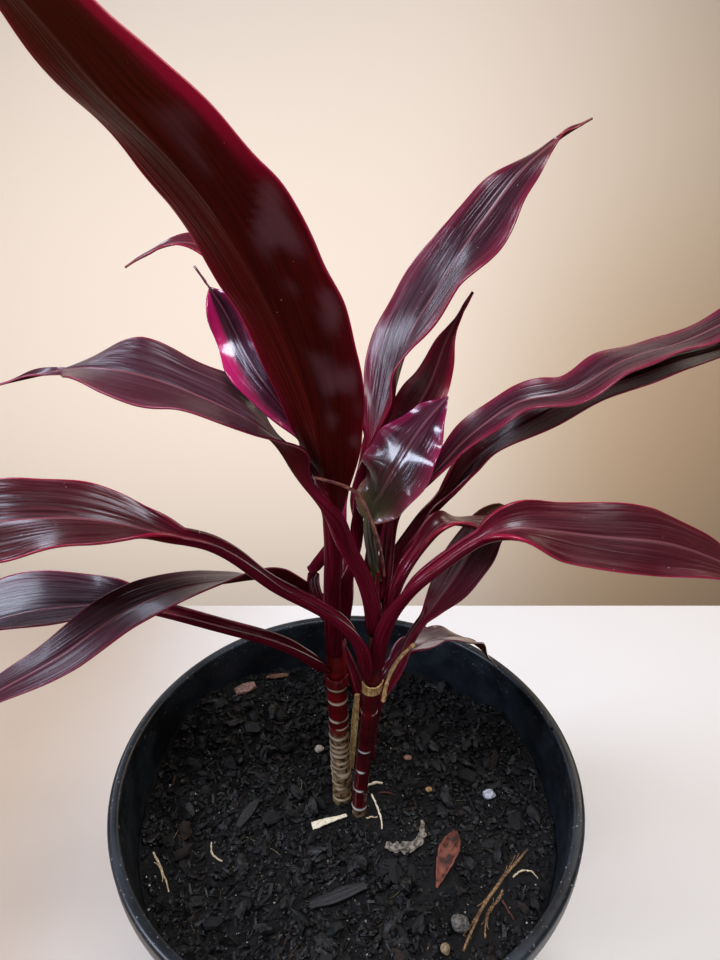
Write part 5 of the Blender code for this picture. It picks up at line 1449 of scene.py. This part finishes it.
for kind, shape, slot, face, first, scale in ((STONES, stone_piece, "stone", "_face", 20, 900.0),
                                              (CHIPS, chip_piece, "bark", "_wood", 50, 800.0)):
    for seed, (node, row) in enumerate(kind.items(), first):
        look = plant_finish(node + face, *LITTER_LOOKS[node], scale=scale)
        lay(shape(node, *row, seed), node, slot, look)
print("stones and bark done")

# %% [markdown]
# The dead leaf has rolled its edges in and gone rust brown. The papery scrap
# is an old sheath, thin and grey, and a dry ribbon of sheath hangs between the two canes.

# %% Dry strips
dead = strip("leaf_dead_fine", [(59.4, -15.5, 230), (55.5, -26, 231.5), (50.5, -37, 231), (46, -47.3, 230.5)],
             (0.8, 3.9, 5.4, 4.4, 2.4, 0.3), 0.6, (0, 8, 0), cup=0.5, crumple=0.2, tear=0.06, seed=4)
lay(dead, "leaf_dead", "dead_leaf",
    plant_finish("dead_leaf_skin", "2A120C", "7E4434", 0.5, scale=200.0, stains=0.3))
scrap = strip("scrap_papery_fine", [(20.7, -23.9, 230), (30, -25.7, 230), (38.3, -22.5, 230.5),
                                    (41.5, -9.7, 231)],
              (1.8, 3.0, 2.2, 0.6), 0.6, (0, 0), cup=0.2, crumple=1.1, tear=0.7, seed=6)
lay(scrap, "scrap_papery", "scrap", plant_finish("papery_scrap", "2A2622", "948A7C", 0.6, scale=500.0))
ribbon = strip("strip_dry_fine", [(5.7, -4, 277), (4.6, -3.4, 261), (3.6, -1, 240), (2.6, 2, 214)],
               (1.2, 1.7, 1.4, 0.8), 0.6, (0, 12, -8), cup=0.25, crumple=0.2, seed=8)
tan = plant_finish("dry_sheath", "966A38", "F0CE90", 0.4, stretch=(1, 1, 0.2), scale=1400.0)
dress(ribbon, "strip_dry", "dry_sheath", tan)
print("strips done")

# %% [markdown]
# Old sheaths clasp the canes: a smooth red swelling at the foot of the lowest leaf and a dry tan
# band on the right cane. Each is a sheet wrapped part of the way round. The red one is full in
# the middle and thin at its edges, like a cuff; the tan one flares at its upper edge.

# %% Sheaths and the last strands
SHEATH_ROWS = 24
SHEATH_COLUMNS = 48


def clasp(name, rod, low, high, start, end, thickness, seed, full=0.0, flare=0.5):
    """A sheath round part of a cane: full swells its middle, flare opens its upper edge."""
    grid, place = np.zeros((2, SHEATH_ROWS, SHEATH_COLUMNS, 3))
    for i, j in np.ndindex(SHEATH_ROWS, SHEATH_COLUMNS):
        v, u = i / (SHEATH_ROWS - 1), j / (SHEATH_COLUMNS - 1)
        z = low + (high - low) * v * (1 - 0.25 * math.sin(math.pi * u))
        z += 0.3 * v * waver(u * 9, seed, 0.2)
        middle, radius = cane_at(rod, z)
        a = math.radians(start + (end - start) * u)
        r = radius * 1.08 + 0.3 + thickness + flare * v * v
        r += full * math.sin(math.pi * v) * math.sin(math.pi * u) ** 0.5
        r += 0.05 * waver(u * 14, v * 2, seed)
        grid[i, j] = middle + np.array([math.cos(a), math.sin(a), 0]) * r
        place[i, j] = u, v, seed
    return sheet(name, grid, np.full(grid.shape[:2], thickness), {"strip_at": place})[0]


def strand(name, points, rows, at, radii, lumps, seed):
    """A tube through points, with its radii at shares of its length."""
    shares = np.linspace(0, 1, rows)
    return tube(name, spline(points, shares), np.interp(shares, at, radii), sides=4, lumps=lumps, seed=seed)


red = clasp("sheath_left_fine", "left", 271.5, 279.7, 200, 330, 0.8, 2, full=0.5, flare=0.4)
dress(red, "sheath_left", "sheath_red", plant_finish(
    "red_sheath", "5A0A16", "96202C", 0.25, stretch=(1, 1, 0.3), scale=500.0, depth=0.0001))
band = clasp("sheath_dry_fine", "right", 280, 287.5, 205, 345, 0.7, 5)
dress(band, "sheath_dry", "dry_sheath", tan)
stalk = strand("stalk_dry_fine", [(18.6, -7, 276), (21, -6.5, 291), (27, -4.5, 303), (33, -3, 309)], 60,
               (0, 0.2, 0.5, 0.8, 0.93, 0.97, 1), (1.1, 1.1, 0.9, 0.8, 0.7, 1.1, 0.9), 0.25, 9)
dress(stalk, "stalk_dry", "dry_sheath", tan)
torn = strand("strand_torn_fine", [(-10, -28.7, 415), (-4, -30, 414), (5, -28.5, 408.5),
                                   (10, -25.5, 397.5), (14.5, -20, 380), (17.5, -12.5, 357)], 90,
              np.linspace(0, 1, 6), (0.5, 0.7, 0.8, 0.8, 0.7, 0.6), 0.15, 11)
dress(torn, "strand_torn", "torn_strand", plant_finish("torn_strand", "5A1A28", "A86A50", 0.35, scale=300.0))
print("sheaths done")

# %% [markdown]
# The last cell prints the box of the CAD model and that of the finished model, so that the two
# can be compared.

# %% The two boxes
model_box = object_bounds()
print("CAD box", [list(p) for p in cad_box], "model box", [list(p) for p in model_box])
